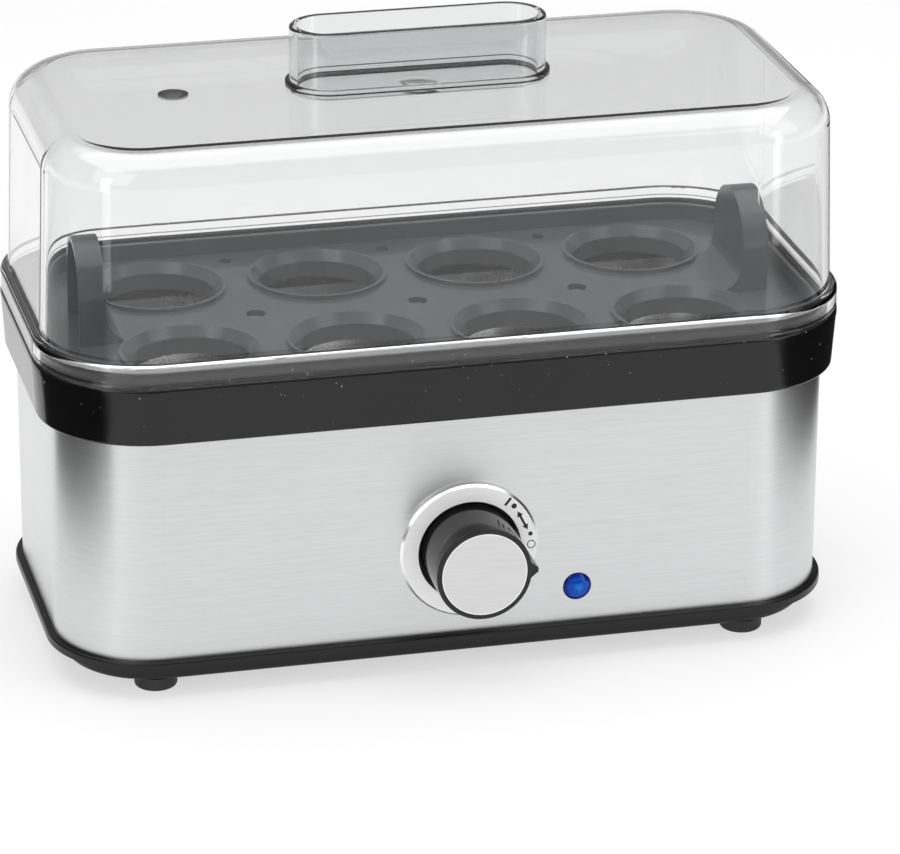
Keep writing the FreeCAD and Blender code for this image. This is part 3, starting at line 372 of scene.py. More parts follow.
@dataclass(frozen=True)
class ClearPlastic(Finish):
    """Clear moulded plastic that lets lamps through, with faint flow lines and handling haze.

    Attributes:
        flow: Height of the flow lines, in metres.
        vent: Axis of the steam vent as (x, y), in metres.
        vent_radius: Its radius, in metres; its wall gets frost roughness and a dark grey tint, which is
            painted shade for the dark that the vent shows.
        roof: Height of the roof's top, in metres; its rounded edge is slightly satin.
        wall: Thickness of the moulding, in metres.
        frost: Roughness added on the vent's wall.
        satin: Roughness added along the roof's rounded edge.
    """

    flow: float = 0.010 * MM
    vent: tuple[float, float] = (0.0, 0.0)
    vent_radius: float = 0.0
    roof: float = 0.0
    wall: float = 2.0 * MM
    frost: float = 0.4
    satin: float = 0.12

    def satin_edge(self, s: Surface) -> Signal:
        """Where the roof, inside and outside, starts to round over.

        Args:
            s: The surface that the signal is for.

        Returns:
            1 along the edge and 0 elsewhere.
        """
        below = self.roof - s.axis("Z")
        edge = 0.0
        for drop in (below, below - self.wall):
            edge = edge + drop.ramp(0.01 * MM, 0.05 * MM) * (1.0 - drop.ramp(0.5 * MM, 1.2 * MM))
        return edge

    def build(self) -> bpy.types.Material:
        """Builds the clear plastic."""
        s = Surface(self.name)
        haze = s.noise(26.0, 4.0, rough=0.6).ramp(*HAZE_STEP)
        hairlines = s.noise(1.0, 2.0, at=s.scaled(HAIRLINE_STRETCH)).ramp(*HAIRLINE_STEP)
        x, y = s.axis("X") - self.vent[0], s.axis("Y") - self.vent[1]
        # Mask of the vent's wall: it adds real frost roughness, and it tints the wall dark grey as painted
        # shade for the dark that the hole shows.
        frost_and_painted_shade = (x * x + y * y).root() < self.vent_radius + 0.05 * MM
        s.set(Base_Color=s.blend(frost_and_painted_shade, self.colour, VENT_PAINTED_SHADE), IOR=ACRYLIC_INDEX,
              Transmission_Weight=1.0,
              Roughness=self.roughness + haze * 0.012 + hairlines * 0.02 + frost_and_painted_shade * self.frost
              + self.satin_edge(s) * self.satin)
        s.bump(s.noise(34.0, 1.0), self.flow)
        veil = s.node("BsdfTransparent", {}, {"Color": SHADOW_TINT})
        lamps = s.node("LightPath")
        mixed = s.node("MixShader", {}, {0: s.signal(lamps, "Is Shadow Ray"), 1: s.signal(s.shader),
                                         2: s.signal(veil)})
        s.feed(s.output.inputs["Surface"], s.signal(mixed))
        return s.material


@dataclass(frozen=True)
class BrushedMetal(Finish):
    """Metal with fine parallel lines.

    Attributes:
        grain: Which way the lines run.
        streak: How much the lines change the roughness.
        spread: How far reflections are drawn out across the lines.
        depth: Depth of the lines, in metres.
    """

    grain: Grain = Grain.AROUND
    streak: float = 0.16
    spread: float = 0.6
    depth: float = 0.0006 * MM

    def build(self) -> bpy.types.Material:
        """Builds the brushed metal."""
        s = Surface(self.name)
        fine = s.noise(1.0, 4.0, at=s.scaled(self.grain.value), rough=0.75)
        broad = s.noise(0.3, 2.0, at=s.scaled(self.grain.value))
        lines = fine * 0.75 + broad * 0.25
        cloud = s.noise(14.0, 2.0)
        s.set(Base_Color=s.blend(lines.ramp(*TONE_STEP), self.tinted(0.93), self.tinted(1.05)),
              Metallic=1.0, Anisotropic=self.spread, Anisotropic_Rotation=TURN_ACROSS_GRAIN,
              Roughness=self.roughness + (lines - 0.5) * self.streak + (cloud - 0.5) * 0.05)
        s.bump(lines, self.depth)
        return s.material


@dataclass(frozen=True)
class PlatedMetal(Finish):
    """Sheet, plated or turned metal with soft patches of tone.

    Attributes:
        patch: Size of the patches, in metres.
        tint: The colour that the patches lean towards.
    """

    patch: float = 9.0 * MM
    tint: Colour = (0.55, 0.53, 0.5)

    def build(self) -> bpy.types.Material:
        """Builds the patchy metal."""
        s = Surface(self.name)
        patches = s.noise(1.0 / self.patch, 3.0)
        fine = s.noise(2200.0, 2.0)
        s.set(Base_Color=s.blend(patches.ramp(0.4, 0.75) * 0.6, self.colour, self.tint), Metallic=1.0,
              Roughness=self.roughness + (patches - 0.5) * 0.18 + (fine - 0.5) * 0.08)
        s.bump(fine, 0.002 * MM)
        return s.material


@dataclass(frozen=True)
class TemperedSteel(Finish):
    """Heater sheath: dull steel with straw and blue temper colours."""

    def build(self) -> bpy.types.Material:
        """Builds the tempered steel."""
        s = Surface(self.name)
        heat = s.noise(30.0, 3.0)
        warm = s.blend(heat.ramp(0.35, 0.55), self.colour, STRAW_TEMPER)
        s.set(Base_Color=s.blend(heat.ramp(0.56, 0.75), warm, BLUE_TEMPER), Metallic=1.0,
              Roughness=self.roughness + (heat - 0.5) * 0.2)
        s.bump(s.noise(900.0, 2.0), 0.004 * MM)
        return s.material


@dataclass(frozen=True)
class Rubber(Finish):
    """Matt rubber or wire insulation with a fine tooth and a slight bloom."""

    def build(self) -> bpy.types.Material:
        """Builds the rubber."""
        s = Surface(self.name)
        bloom = s.noise(160.0, 4.0)
        tooth = s.noise(1800.0, 3.0)
        s.set(Base_Color=s.blend(bloom.ramp(0.35, 0.8) * 0.5, self.colour, self.tinted(1.9)),
              Roughness=self.roughness + (tooth - 0.5) * 0.15, IOR=1.45)
        s.bump(tooth, 0.008 * MM)
        return s.material


@dataclass(frozen=True)
class RimmedMetal(Finish):
    """Satin metal disc or ring whose outer edge is polished.

    Attributes:
        centre: Axis of the disc as (x, z), in metres.
        polished_from: Radius where the polished edge starts, in metres.
        blend: Width over which satin turns to polish, in metres.
        grain: Which way its fine lines run.
        metal: How metallic the satin face is, from 0 for paint to 1.
        rim: Colour of the polished edge.
        polish: Roughness of the polished edge.
    """

    centre: tuple[float, float] = (0.0, 0.0)
    polished_from: float = 20.0 * MM
    blend: float = 0.12 * MM
    grain: Grain = Grain.ALONG_X
    metal: float = 1.0
    rim: Colour = (0.95, 0.95, 0.95)
    polish: float = 0.2

    def build(self) -> bpy.types.Material:
        """Builds the two-tone metal."""
        s = Surface(self.name)
        x = s.axis("X") - self.centre[0]
        z = s.axis("Z") - self.centre[1]
        radius = (x * x + z * z).root()
        polished = radius.ramp(self.polished_from, self.polished_from + self.blend)
        lines = s.noise(1.0, 4.0, at=s.scaled(self.grain.value), rough=0.7)
        speckle = s.noise(2600.0, 2.0)
        satin = s.blend(lines.ramp(*TONE_STEP), self.tinted(0.94), self.tinted(1.05))
        s.set(Base_Color=s.blend(polished, satin, self.rim),
              Metallic=self.metal + polished * (1.0 - self.metal),
              Roughness=self.roughness - polished * (self.roughness - self.polish) + (speckle - 0.5) * 0.08)
        s.bump(speckle * 0.4 + lines * 0.6, 0.0008 * MM)
        return s.material


@dataclass(frozen=True)
class LampGlass(Finish):
    """Coloured lamp lens with a paler, lit heart.

    Attributes:
        centre: Axis of the lens as (x, z), in metres.
        heart: The colour at its middle.
        rim: The colour at its edge.
        radius: The lens's radius, in metres.
        shade: How far the glow's lit side stands off the axis, in metres.
    """

    centre: tuple[float, float] = (0.0, 0.0)
    heart: Colour = (0.01, 0.40, 0.85)
    rim: Colour = (0.001, 0.006, 0.10)
    radius: float = 4.3 * MM
    shade: float = 1.2 * MM

    def build(self) -> bpy.types.Material:
        """Builds the lens."""
        s = Surface(self.name)
        x = s.axis("X") - self.centre[0]
        z = s.axis("Z") - self.centre[1]
        outwards = (x * x + z * z).root() / self.radius
        facets = s.noise(700.0, 2.0)
        ripple = outwards + (facets - 0.5) * 0.5
        ring = (1.0 - (ripple - 0.6).size().ramp(0.0, 0.1)) * 0.45
        dimmed = 1.0 - ((x + self.shade) * LAMP_DIMMING).ramp(-0.6, 0.5)
        glow = (1.0 - ripple.ramp(0.05, 0.5)) * (0.9 - dimmed * 0.5) + ring * (1.0 - dimmed * 0.6)
        edge = outwards.ramp(0.66, 0.92)
        body = s.blend(edge, self.colour, self.rim)
        s.set(Base_Color=body, Roughness=self.roughness + (facets - 0.5) * 0.06, IOR=LAMP_INDEX,
              Emission_Color=s.blend(glow, body, self.heart), Emission_Strength=LAMP_GLOW)
        s.bump(facets, 0.01 * MM)
        return s.material


@dataclass(frozen=True)
class BoardLacquer(Finish):
    """Circuit board: green lacquer over copper tracks, with tinned pads."""

    def build(self) -> bpy.types.Material:
        """Builds the board's pattern."""
        s = Surface(self.name)
        cells = s.node("TexVoronoi", {"feature": "DISTANCE_TO_EDGE"},
                       {"Vector": s.scaled(TRACK_CELLS), "Scale": 1.0})
        track = s.signal(cells, "Distance").ramp(0.10, 0.14)
        dots = s.node("TexVoronoi", {}, {"Vector": s.scaled(PAD_CELLS), "Scale": 1.0,
                                         "Randomness": 0.25})
        pad = 1.0 - s.signal(dots, "Distance").ramp(0.20, 0.24)
        green = s.blend(track, self.tinted(0.55), self.tinted(1.5))
        s.set(Base_Color=s.blend(pad, green, TINNED_PAD), Metallic=pad * 0.9,
              Roughness=self.roughness + pad * 0.12)
        s.bump(track * 0.4 + pad * 0.6, 0.03 * MM)
        return s.material


@dataclass(frozen=True)
class Ink(Finish):
    """Printed marking ink with slightly uneven cover."""

    def build(self) -> bpy.types.Material:
        """Builds the ink."""
        s = Surface(self.name)
        cover = s.noise(3000.0, 2.0)
        s.set(Base_Color=s.blend(cover.ramp(0.6, 0.9), self.colour, self.tinted(2.5)),
              Roughness=self.roughness + (cover - 0.5) * 0.2)
        return s.material


@dataclass(frozen=True)
class FloorPaint(Finish):
    """Plain white light table: a pale top that glows a little, so that shadows on it stay faint.

    Attributes:
        glow: Brightness of the table's own light.
    """

    glow: float = 0.6

    def build(self) -> bpy.types.Material:
        """Builds the floor."""
        s = Surface(self.name)
        tooth = s.noise(220.0, 2.0)
        s.set(Base_Color=s.blend(tooth, self.tinted(0.985), self.tinted(1.0)), Roughness=self.roughness,
              Specular_IOR_Level=0.15, Emission_Color=WHITE, Emission_Strength=self.glow)
        s.bump(tooth, 0.01 * MM)
        return s.material


@dataclass(frozen=True)
class FlagFelt(Finish):
    """Dark felt card that thins out towards its front edge.

    Attributes:
        front: Where the card's front edge is along Y, in metres.
        fade: Length over which it thins out, in metres.
    """

    front: float = 0.0
    fade: float = 0.01

    def build(self) -> bpy.types.Material:
        """Builds the fading felt."""
        s = Surface(self.name)
        nap = s.noise(900.0, 2.0)
        s.set(Base_Color=s.blend(nap, self.tinted(0.8), self.tinted(1.2)), Roughness=self.roughness,
              Alpha=s.axis("Y").ramp(self.front, self.front + self.fade))
        return s.material


# Dark grey tint for the vent's wall: painted shade, not a colour of the plastic.
VENT_PAINTED_SHADE = (0.10, 0.10, 0.10)
CLEAR = ClearPlastic("clear_plastic", (0.95, 0.952, 0.953), 0.004)
CLEAR_GRIP = ClearPlastic("clear_grip", (0.86, 0.864, 0.868), 0.004)
COLLAR_BLACK = Plastic("collar_black", (0.004, 0.004, 0.0045), 0.12, dust=0.5, gloss=1.45)
TRAY_ANTHRACITE = Plastic("tray_anthracite", (0.04, 0.042, 0.046), 0.22, coat=0.2, depth=0.003 * MM)
PAN_BLACK = Plastic("pan_black", (0.006, 0.006, 0.006), 0.32, texture=0.35 * MM, depth=0.004 * MM, gloss=1.4)
KNOB_BLACK = Plastic("knob_black", (0.006, 0.006, 0.0065), 0.12, gloss=1.44)
CARRIER_BLACK = Plastic("carrier_black", (0.03, 0.03, 0.033), 0.5, texture=0.3 * MM, depth=0.01 * MM)
PART_BLACK = Plastic("component_black", (0.045, 0.045, 0.05), 0.38, texture=0.25 * MM, depth=0.006 * MM)
RELAY_BLUE = Plastic("relay_blue", (0.05, 0.13, 0.36), 0.35)
BLOCK_CREAM = Plastic("block_cream", (0.78, 0.76, 0.68), 0.42)
CERAMIC = Plastic("ceramic_white", (0.82, 0.8, 0.74), 0.55, texture=0.2 * MM, depth=0.012 * MM)
LED_CLEAR = ClearPlastic("led_resin", (0.9, 0.95, 1.0), 0.02)
JACKET_STEEL = BrushedMetal("jacket_steel", (0.70, 0.705, 0.71), 0.30, spread=0.75)
DISH_STEEL = PlatedMetal("dish_steel", (0.68, 0.68, 0.67), 0.26, patch=22.0 * MM)
SEAM_STEEL = PlatedMetal("seam_steel", (0.16, 0.16, 0.165), 0.4, tint=(0.1, 0.1, 0.1))
ZINC = PlatedMetal("zinc_plate", (0.62, 0.62, 0.61), 0.36, patch=6.0 * MM, tint=(0.5, 0.48, 0.4))
MILLED = PlatedMetal("milled_aluminium", (0.76, 0.77, 0.78), 0.32)
BRASS = PlatedMetal("brass", (0.72, 0.55, 0.25), 0.3, tint=(0.5, 0.33, 0.12))
HEATER = TemperedSteel("heater_sheath", (0.36, 0.34, 0.31), 0.42)
FOOT_RUBBER = Rubber("foot_rubber", (0.022, 0.022, 0.023), 0.62)
SILICONE = Rubber("silicone_red", (0.5, 0.16, 0.1), 0.5)
WIRE_BROWN = Rubber("wire_brown", (0.2, 0.08, 0.035), 0.42)
WIRE_BLUE = Rubber("wire_blue", (0.04, 0.12, 0.42), 0.42)
WIRE_EARTH = Rubber("wire_green_yellow", (0.28, 0.42, 0.05), 0.42)
WIRE_WHITE = Rubber("wire_white", (0.42, 0.41, 0.39), 0.42)
BOARD = BoardLacquer("board_green", (0.03, 0.2, 0.08), 0.3)
MARK_INK = Ink("mark_ink", (0.008, 0.008, 0.009), 0.45)
FLOOR = FloorPaint("floor_white", (0.36, 0.36, 0.36), 0.9)
FLAG_BLACK = (0.012, 0.012, 0.012)


# ---------------------------------------------------------------- mesh helpers
def outline_prism(bm: bmesh.types.BMesh, outline: Sequence[tuple[float, float]], y_front: float,
                  y_back: float) -> None:
    """Adds a closed prism whose outline lies in the front plane.

    Args:
        bm: The mesh to add to.
        outline: Points (x, z), anticlockwise as seen from the front.
        y_front: Its front face.
        y_back: Its back face.
    """
    front = [bm.verts.new((x, y_front, z)) for x, z in outline]
    back = [bm.verts.new((x, y_back, z)) for x, z in outline]
    bm.faces.new(front)
    bm.faces.new(back[::-1])
    for k, (a, b) in enumerate(zip(front, back)):
        following = (k + 1) % len(front)
        bm.faces.new((a, b, back[following], front[following]))


def arc(centre: tuple[float, float], radius: float, start: float, end: float, steps: int
        ) -> list[tuple[float, float]]:
    """Points along an arc.

    Args:
        centre: The arc's centre.
        radius: Its radius.
        start: First angle, in degrees.
        end: Last angle, in degrees.
        steps: Number of stretches.

    Returns:
        The points, both ends included.
    """
    turns = [math.radians(start + (end - start) * k / steps) for k in range(steps + 1)]
    return [(centre[0] + radius * math.cos(t), centre[1] + radius * math.sin(t)) for t in turns]


def made_object(name: str, bm: bmesh.types.BMesh, finish: Finish) -> bpy.types.Object:
    """Turns a mesh into a dressed object in the scene.

    Args:
        name: The object's name.
        bm: Its mesh, which is freed.
        finish: Its finish.

    Returns:
        The new object.
    """
    mesh = bpy.data.meshes.new(name)
    bm.to_mesh(mesh)
    bm.free()
    mesh.materials.append(finish.material())
    made = bpy.data.objects.new(name, mesh)
    bpy.context.scene.collection.objects.link(made)
    return made


def piece(name: str, bm: bmesh.types.BMesh, finish: Finish, body: str) -> bpy.types.Object:
    """Turns a mesh into a dressed piece that rides on a body.

    Args:
        name: The piece's name.
        bm: Its mesh, which is freed.
        finish: Its finish.
        body: The CAD body that it moves with.

    Returns:
        The new object.
    """
    bmesh.ops.recalc_face_normals(bm, faces=bm.faces)
    made = made_object(name, bm, finish)
    made.data.set_sharp_from_angle(angle=PIECE_SMOOTHING)
    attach(made, body)
    log.info("made %s, %d faces", name, len(made.data.polygons))
    return made


def dress(finishes: dict[str, Finish]) -> None:
    """Gives CAD nodes their finish and smooths their round faces.

    Args:
        finishes: The finish of each node, by the node's name.
    """
    for name, finish in finishes.items():
        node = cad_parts[name]
        node.data.materials.clear()
        node.data.materials.append(finish.material())
        for polygon in node.data.polygons:
            polygon.use_smooth = True
        node.data.set_sharp_from_angle(angle=NODE_SMOOTHING)
        log.info("dressed %s with %s", name, finish.name)


# ---------------------------------------------------------------- sub-assemblies
@dataclass
class Lid:
    """Clear lid and its oval grip.

    Attributes:
        vent: Axis of the steam vent as (x, y).
        vent_radius: Its radius.
    """

    vent: tuple[float, float] = (-72.5 * MM, 7.55 * MM)
    vent_radius: float = 4.4 * MM

    def dress(self) -> None:
        """Gives both mouldings the clear plastic."""
        shell = ClearPlastic("vented_plastic", CLEAR.colour, CLEAR.roughness, vent=self.vent,
                             vent_radius=self.vent_radius, roof=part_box("lid_shell")[1].z)
        dress({"lid_shell": shell, "lid_grip": CLEAR_GRIP})


@dataclass
class EggTray:
    """Dark lift-out tray."""

    def dress(self) -> None:
        """Gives the tray its anthracite plastic."""
        dress({name: TRAY_ANTHRACITE for name in ("egg_tray", "tray_rim", "tray_tab_left", "tray_tab_right")})


@dataclass
class Case:
    """Steel jacket, collar, bottom pan, feet and the screws that hold them together.

    Attributes:
        seam_x: Where the jacket's ends meet at the back.
        seam_width: Width of the seam.
        seam_proud: How far it stands out.
        seam_root: How far it reaches into the jacket.
        hidden_edge: How much of the jacket the collar and the pan cover at each end.
    """

    seam_x: float = -30.0 * MM
    seam_width: float = 0.35 * MM
    seam_proud: float = 0.03 * MM
    seam_root: float = 0.02 * MM
    hidden_edge: float = 3.2 * MM

    def build(self) -> None:
        """Adds the jacket's butt seam at the back."""
        low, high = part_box("steel_jacket")
        half = self.seam_width / 2
        bottom, top = low.z + self.hidden_edge, high.z - self.hidden_edge
        bm = bmesh.new()
        outline = [(self.seam_x - half, bottom), (self.seam_x + half, bottom),
                   (self.seam_x + half, top), (self.seam_x - half, top)]
        outline_prism(bm, outline, high.y - self.seam_root, high.y + self.seam_proud)
        piece("jacket_seam", bm, SEAM_STEEL, "base")

    def dress(self) -> None:
        """Gives the case's pieces their finishes."""
        feet = {name: FOOT_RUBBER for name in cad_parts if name.startswith("foot_")}
        dress({"steel_jacket": JACKET_STEEL, "upper_frame": COLLAR_BLACK, "base_pan": PAN_BLACK,
               "base_screws": ZINC, **feet})


@dataclass
class Dial:
    """Silver ring with its printed scale, and the knob.

    Attributes:
        print_thickness: Thickness of the printed marks.
        print_root: How far they reach into the ring.
        scale_radius: Radius of the arrow's tips.
        dots: Radius, angle in degrees and size of each filled dot.
        off_mark: Radius, angle in degrees, size and line width of the open circle.
        arrow_shape: Start and end angle in degrees, width of the shaft and width of the heads.
        bar: Inner radius, outer radius, angle in degrees and half width of the bar.
        ring_edge: Width of the ring's polished edge.
        cap_edge: Width of the cap's polished edge.
        axis: Middle of the ring.
        face: Where the ring's front face lies along Y.
    """

    print_thickness: float = 0.04 * MM
    print_root: float = 0.01 * MM
    scale_radius: float = 18.0 * MM
    dots: tuple[Point, ...] = ((18.4 * MM, 44.5, 0.80 * MM), (18.5 * MM, 11.5, 0.66 * MM))
    off_mark: tuple[float, ...] = (18.4 * MM, 1.0, 1.3 * MM, 0.26 * MM)
    arrow_shape: tuple[float, ...] = (16.5, 38.0, 0.7 * MM, 1.9 * MM)
    bar: tuple[float, ...] = (16.9 * MM, 19.7 * MM, 52.0, 0.38 * MM)
    ring_edge: float = 0.75 * MM
    cap_edge: float = 0.3 * MM
    axis: Vector = field(default_factory=lambda: sum(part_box("dial_ring"), Vector()) / 2)
    face: float = field(default_factory=lambda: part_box("dial_ring")[0].y)

    def at(self, radius: float, angle: float) -> tuple[float, float]:
        """The point (x, z) on the ring's face at a radius and an angle anticlockwise from +X."""
        turn = math.radians(angle)
        return self.axis.x + radius * math.cos(turn), self.axis.z + radius * math.sin(turn)

    def mark(self, bm: bmesh.types.BMesh, outline: Sequence[tuple[float, float]]) -> None:
        """Adds one printed shape on the ring's face."""
        outline_prism(bm, outline, self.face - self.print_thickness, self.face + self.print_root)

    def dot(self, bm: bmesh.types.BMesh, radius: float, angle: float, size: float) -> None:
        """Adds a filled dot of this size at a radius and angle."""
        self.mark(bm, arc(self.at(radius, angle), size, 0, 360, DOT_STEPS)[:-1])

    def open_circle(self, bm: bmesh.types.BMesh, radius: float, angle: float, size: float,
                    line: float) -> None:
        """Adds the off mark.

        Args:
            bm: The mesh to add to.
            radius: Distance of its centre from the dial's axis.
            angle: Where it stands.
            size: Its outer radius.
            line: Width of its line.
        """
        centre = self.at(radius, angle)
        outer = arc(centre, size, 0, 360, CIRCLE_STEPS)
        inner = arc(centre, size - line, 0, 360, CIRCLE_STEPS)
        for k in range(CIRCLE_STEPS):
            self.mark(bm, [outer[k], outer[k + 1], inner[k + 1], inner[k]])

    def arrow(self, bm: bmesh.types.BMesh, start: float, end: float, width: float, head: float) -> None:
        """Adds the double-headed arrow between two angles.

        Args:
            bm: The mesh to add to.
            start: The lower angle, in degrees.
            end: The upper angle, in degrees.
            width: Width of its shaft.
            head: Width of its heads.
        """
        first, last = Vector(self.at(self.scale_radius, start)), Vector(self.at(self.scale_radius, end))
        along = (last - first).normalized()
        across = Vector((-along.y, along.x))
        neck = head * HEAD_LENGTH
        for tip, inward in ((first, along), (last, -along)):
            base = tip + inward * neck
            corners = [tip, base + across * head / 2, base - across * head / 2]
            if (corners[1] - corners[0]).cross(corners[2] - corners[0]) < 0:
                corners = [corners[0], corners[2], corners[1]]
            self.mark(bm, [tuple(c) for c in corners])
        side = across * width / 2
        reach = along * neck * HEAD_OVERLAP
        inner_first, inner_last = first + reach, last - reach
        self.mark(bm, [tuple(inner_first + side), tuple(inner_first - side), tuple(inner_last - side),
                       tuple(inner_last + side)])

    def build(self) -> None:
        """Prints the scale on the ring."""
        bm = bmesh.new()
        for radius, angle, size in self.dots:
            self.dot(bm, radius, angle, size)
        self.open_circle(bm, *self.off_mark)
        self.arrow(bm, *self.arrow_shape)
        start, end, angle, half_width = self.bar
        inner, outer = Vector(self.at(start, angle)), Vector(self.at(end, angle))
        across = Vector((-(outer - inner).y, (outer - inner).x)).normalized() * half_width
        self.mark(bm, [tuple(inner - across), tuple(outer - across), tuple(outer + across),
                       tuple(inner + across)])
        piece("dial_scale", bm, MARK_INK, "base")

    def dress(self) -> None:
        """Gives the ring, the knob and its cap their finishes."""
        centre = (self.axis.x, self.axis.z)
        ring = RimmedMetal("ring_silver", (0.97, 0.97, 0.975), 0.46, centre,
                           self.reach("dial_ring") - self.ring_edge, metal=0.15)
        cap = RimmedMetal("cap_silver", (0.68, 0.68, 0.68), 0.36, centre,
                          self.reach("knob_cap") - self.cap_edge, metal=0.85)
        dress({"dial_ring": ring, "knob": KNOB_BLACK, "knob_cap": cap, "control_shaft": BRASS})

    @staticmethod
    def reach(name: str) -> float:
        """Outer radius of a round node about the dial's axis."""
        low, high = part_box(name)
        return (high.x - low.x) / 2


@dataclass
class Indicator:
    """Blue lamp lens and the diode behind it."""

    def dress(self) -> None:
        """Gives the lens its lit blue and the diode its clear resin."""
        low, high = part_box("indicator_lens")
        middle = (low + high) / 2
        lens = LampGlass("lamp_blue", (0.0, 0.035, 0.30), 0.12, centre=(middle.x, middle.z),
                         radius=(high.x - low.x) / 2)
        dress({"indicator_lens": lens, "indicator_led": LED_CLEAR})


@dataclass
class Heater:
    """Water dish, its seal and fixings, and everything that heats it."""

    def dress(self) -> None:
        """Gives the heating group its finishes."""
        dress({"heating_dish": DISH_STEEL, "dish_gasket": SILICONE, "dish_studs": ZINC, "dish_nuts": ZINC,
               "heat_spreader": MILLED, "heating_element": HEATER, "element_pins": ZINC,
               "element_insulators": CERAMIC, "thermostat": DISH_STEEL, "thermostat_clamp": ZINC,
               "thermal_fuse": DISH_STEEL, "fuse_clip": ZINC, "heat_shield": ZINC, "shield_screws": ZINC})


@dataclass
class Electrics:
    """Control, board, inlet and leads."""

    def dress(self) -> None:
        """Gives the electrical pieces their finishes."""
        dress({"control_carrier": CARRIER_BLACK, "dial_control": PART_BLACK, "control_nut": BRASS,
               "control_board": BOARD, "board_screws": ZINC, "relay": RELAY_BLUE, "capacitor": PART_BLACK,
               "buzzer": PART_BLACK, "cord_gland": FOOT_RUBBER, "terminal_block": BLOCK_CREAM,
               "terminal_screws": ZINC, "earth_tag": BRASS, "lead_live": WIRE_BROWN,
               "lead_neutral": WIRE_BLUE, "lead_return": WIRE_BLUE, "lead_earth": WIRE_EARTH,
               "lead_switched": WIRE_BROWN, "lead_fuse": WIRE_WHITE, "lead_heater": WIRE_WHITE})


# ---------------------------------------------------------------- studio
@dataclass(frozen=True)
class Softbox:
    """One rectangular lamp.

    Attributes:
        name: Its name.
        place: Where it hangs.
        target: The point it faces.
        size: Width and height.
        watts: Its power.
        colour: The colour of its light.
    """

    name: str
    place: Point
    target: Point
    size: tuple[float, float]
    watts: float
    colour: Colour = WHITE

    def build(self) -> None:
        """Hangs the lamp."""
        data = bpy.data.lights.new(self.name, "AREA")
        data.shape = "RECTANGLE"
        data.size, data.size_y = self.size
        data.energy = self.watts
        data.color = self.colour
        lamp = bpy.data.objects.new(self.name, data)
        facing = (Vector(self.target) - Vector(self.place)).to_track_quat("-Z", "Y")
        lamp.matrix_world = Matrix.Translation(self.place) @ facing.to_matrix().to_4x4()
        lamp.visible_camera = False
        bpy.context.scene.collection.objects.link(lamp)


@dataclass(frozen=True)
class Flag:
    """Dark card that only reflections see; it makes glossy corners read dark.

    Attributes:
        name: Its name.
        start: One bottom corner as (x, y).
        end: The other bottom corner as (x, y).
        fade: Length over which its front edge thins out.
        bottom: Height of its bottom edge.
        top: Height of its top edge.
    """

    name: str
    start: tuple[float, float]
    end: tuple[float, float]
    fade: float
    bottom: float = 0.022
    top: float = 0.14

    def build(self) -> None:
        """Hangs the card."""
        bm = bmesh.new()
        corners = [(*self.start, self.bottom), (*self.end, self.bottom), (*self.end, self.top),
                   (*self.start, self.top)]
        bm.faces.new([bm.verts.new(corner) for corner in corners])
        felt = FlagFelt(self.name + "_felt", FLAG_BLACK, 0.9, self.start[1], self.fade)
        card = made_object(self.name, bm, felt)
        card.visible_camera = card.visible_diffuse = False
        card.visible_shadow = card.visible_transmission = False


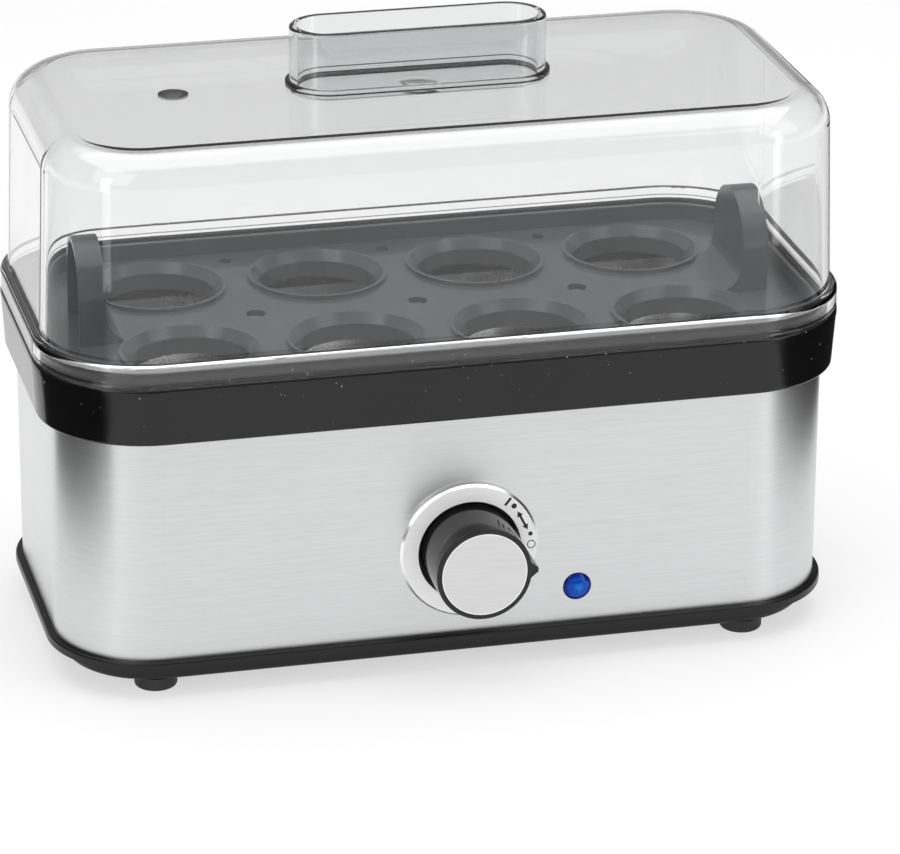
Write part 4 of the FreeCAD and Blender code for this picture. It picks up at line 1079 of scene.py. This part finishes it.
@dataclass
class Studio:
    """Floor, lamps, dark cards, surroundings and camera.

    Attributes:
        azimuth: The camera's bearing, in degrees; 0 looks along +Y.
        elevation: Its height above the horizon, in degrees.
        roll: Its tilt, in degrees.
        distance: How far it stands from what it looks at.
        lens: Its focal length, in millimetres, on a 36 mm wide sensor.
        target: What it looks at.
        surroundings: Brightness of the walls around.
    """

    azimuth: float = -14.12
    elevation: float = 22.19
    roll: float = 0.39
    distance: float = 1.3978
    lens: float = 185.9
    target: Point = (0.01036, 0.00755, 0.05321)
    surroundings: float = 0.34

    def camera(self) -> None:
        """Sets up the camera."""
        bearing, height = math.radians(self.azimuth), math.radians(self.elevation)
        back = Vector((math.sin(bearing) * math.cos(height), -math.cos(bearing) * math.cos(height),
                       math.sin(height)))
        right = Vector((math.cos(bearing), math.sin(bearing), 0.0))
        up = back.cross(right)
        tilt = math.radians(self.roll)
        tilted_right = right * math.cos(tilt) + up * math.sin(tilt)
        tilted_up = back.cross(tilted_right)
        data = bpy.data.cameras.new("camera")
        data.sensor_width = SENSOR_WIDTH
        data.sensor_fit = "HORIZONTAL"
        data.lens = self.lens
        data.clip_start, data.clip_end = CLIP_RANGE
        camera = bpy.data.objects.new("camera", data)
        turn = Matrix((tilted_right, tilted_up, back)).transposed().to_4x4()
        camera.matrix_world = Matrix.Translation(Vector(self.target) + back * self.distance) @ turn
        bpy.context.scene.collection.objects.link(camera)
        bpy.context.scene.camera = camera

    def floor(self) -> None:
        """Lays the floor."""
        bm = bmesh.new()
        bmesh.ops.create_grid(bm, x_segments=8, y_segments=8, size=FLOOR_REACH)
        floor = made_object("floor", bm, FLOOR)

    def lamps(self) -> Iterable[Softbox]:
        """The softboxes around the object."""
        middle = (0.0, 0.0, 0.09)
        return (
            Softbox("overhead", (0.0, 0.05, 1.4), middle, (2.1, 1.5), 19.0),
            Softbox("front_left", (-1.1, -1.0, 1.0), middle, (1.3, 1.3), 6.0),
            Softbox("front_right", (1.1, -0.9, 1.0), middle, (1.2, 1.2), 5.0),
            Softbox("rear", (0.0, 1.2, 1.7), middle, (2.0, 0.7), 4.0),
            Softbox("strip_left", (-0.376, -0.26, 0.17), middle, (0.07, 0.32), 0.16),
            Softbox("strip_right", (0.325, -0.318, 0.17), middle, (0.07, 0.32), 0.16),
        )

    def flags(self) -> Iterable[Flag]:
        """The dark cards beside the object."""
        return (Flag("flag_left", (-0.19, -0.15), (-0.19, 0.06), 0.05),
                Flag("flag_right", (0.19, -0.22), (0.19, 0.2), 0.11))

    def build(self) -> None:
        """Builds the whole studio."""
        world = bpy.data.worlds.new("surroundings")
        world.use_nodes = True
        background = world.node_tree.nodes["Background"]
        background.inputs["Color"].default_value = (*WHITE, 1.0)
        background.inputs["Strength"].default_value = self.surroundings
        scene = bpy.context.scene
        scene.world = world
        scene.view_settings.view_transform = "Standard"
        scene.view_settings.look = "None"
        self.floor()
        for fixture in (*self.lamps(), *self.flags()):
            fixture.build()
        self.camera()


def main() -> None:
    """Builds and dresses the cooker, then the studio around it."""
    logging.basicConfig(level=logging.INFO, format="%(message)s")
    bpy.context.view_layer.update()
    case, dial = Case(), Dial()
    case.build()
    dial.build()
    for group in (case, dial, Lid(), EggTray(), Indicator(), Heater(), Electrics()):
        group.dress()
    Studio().build()


if __name__ == "__main__":
    main()
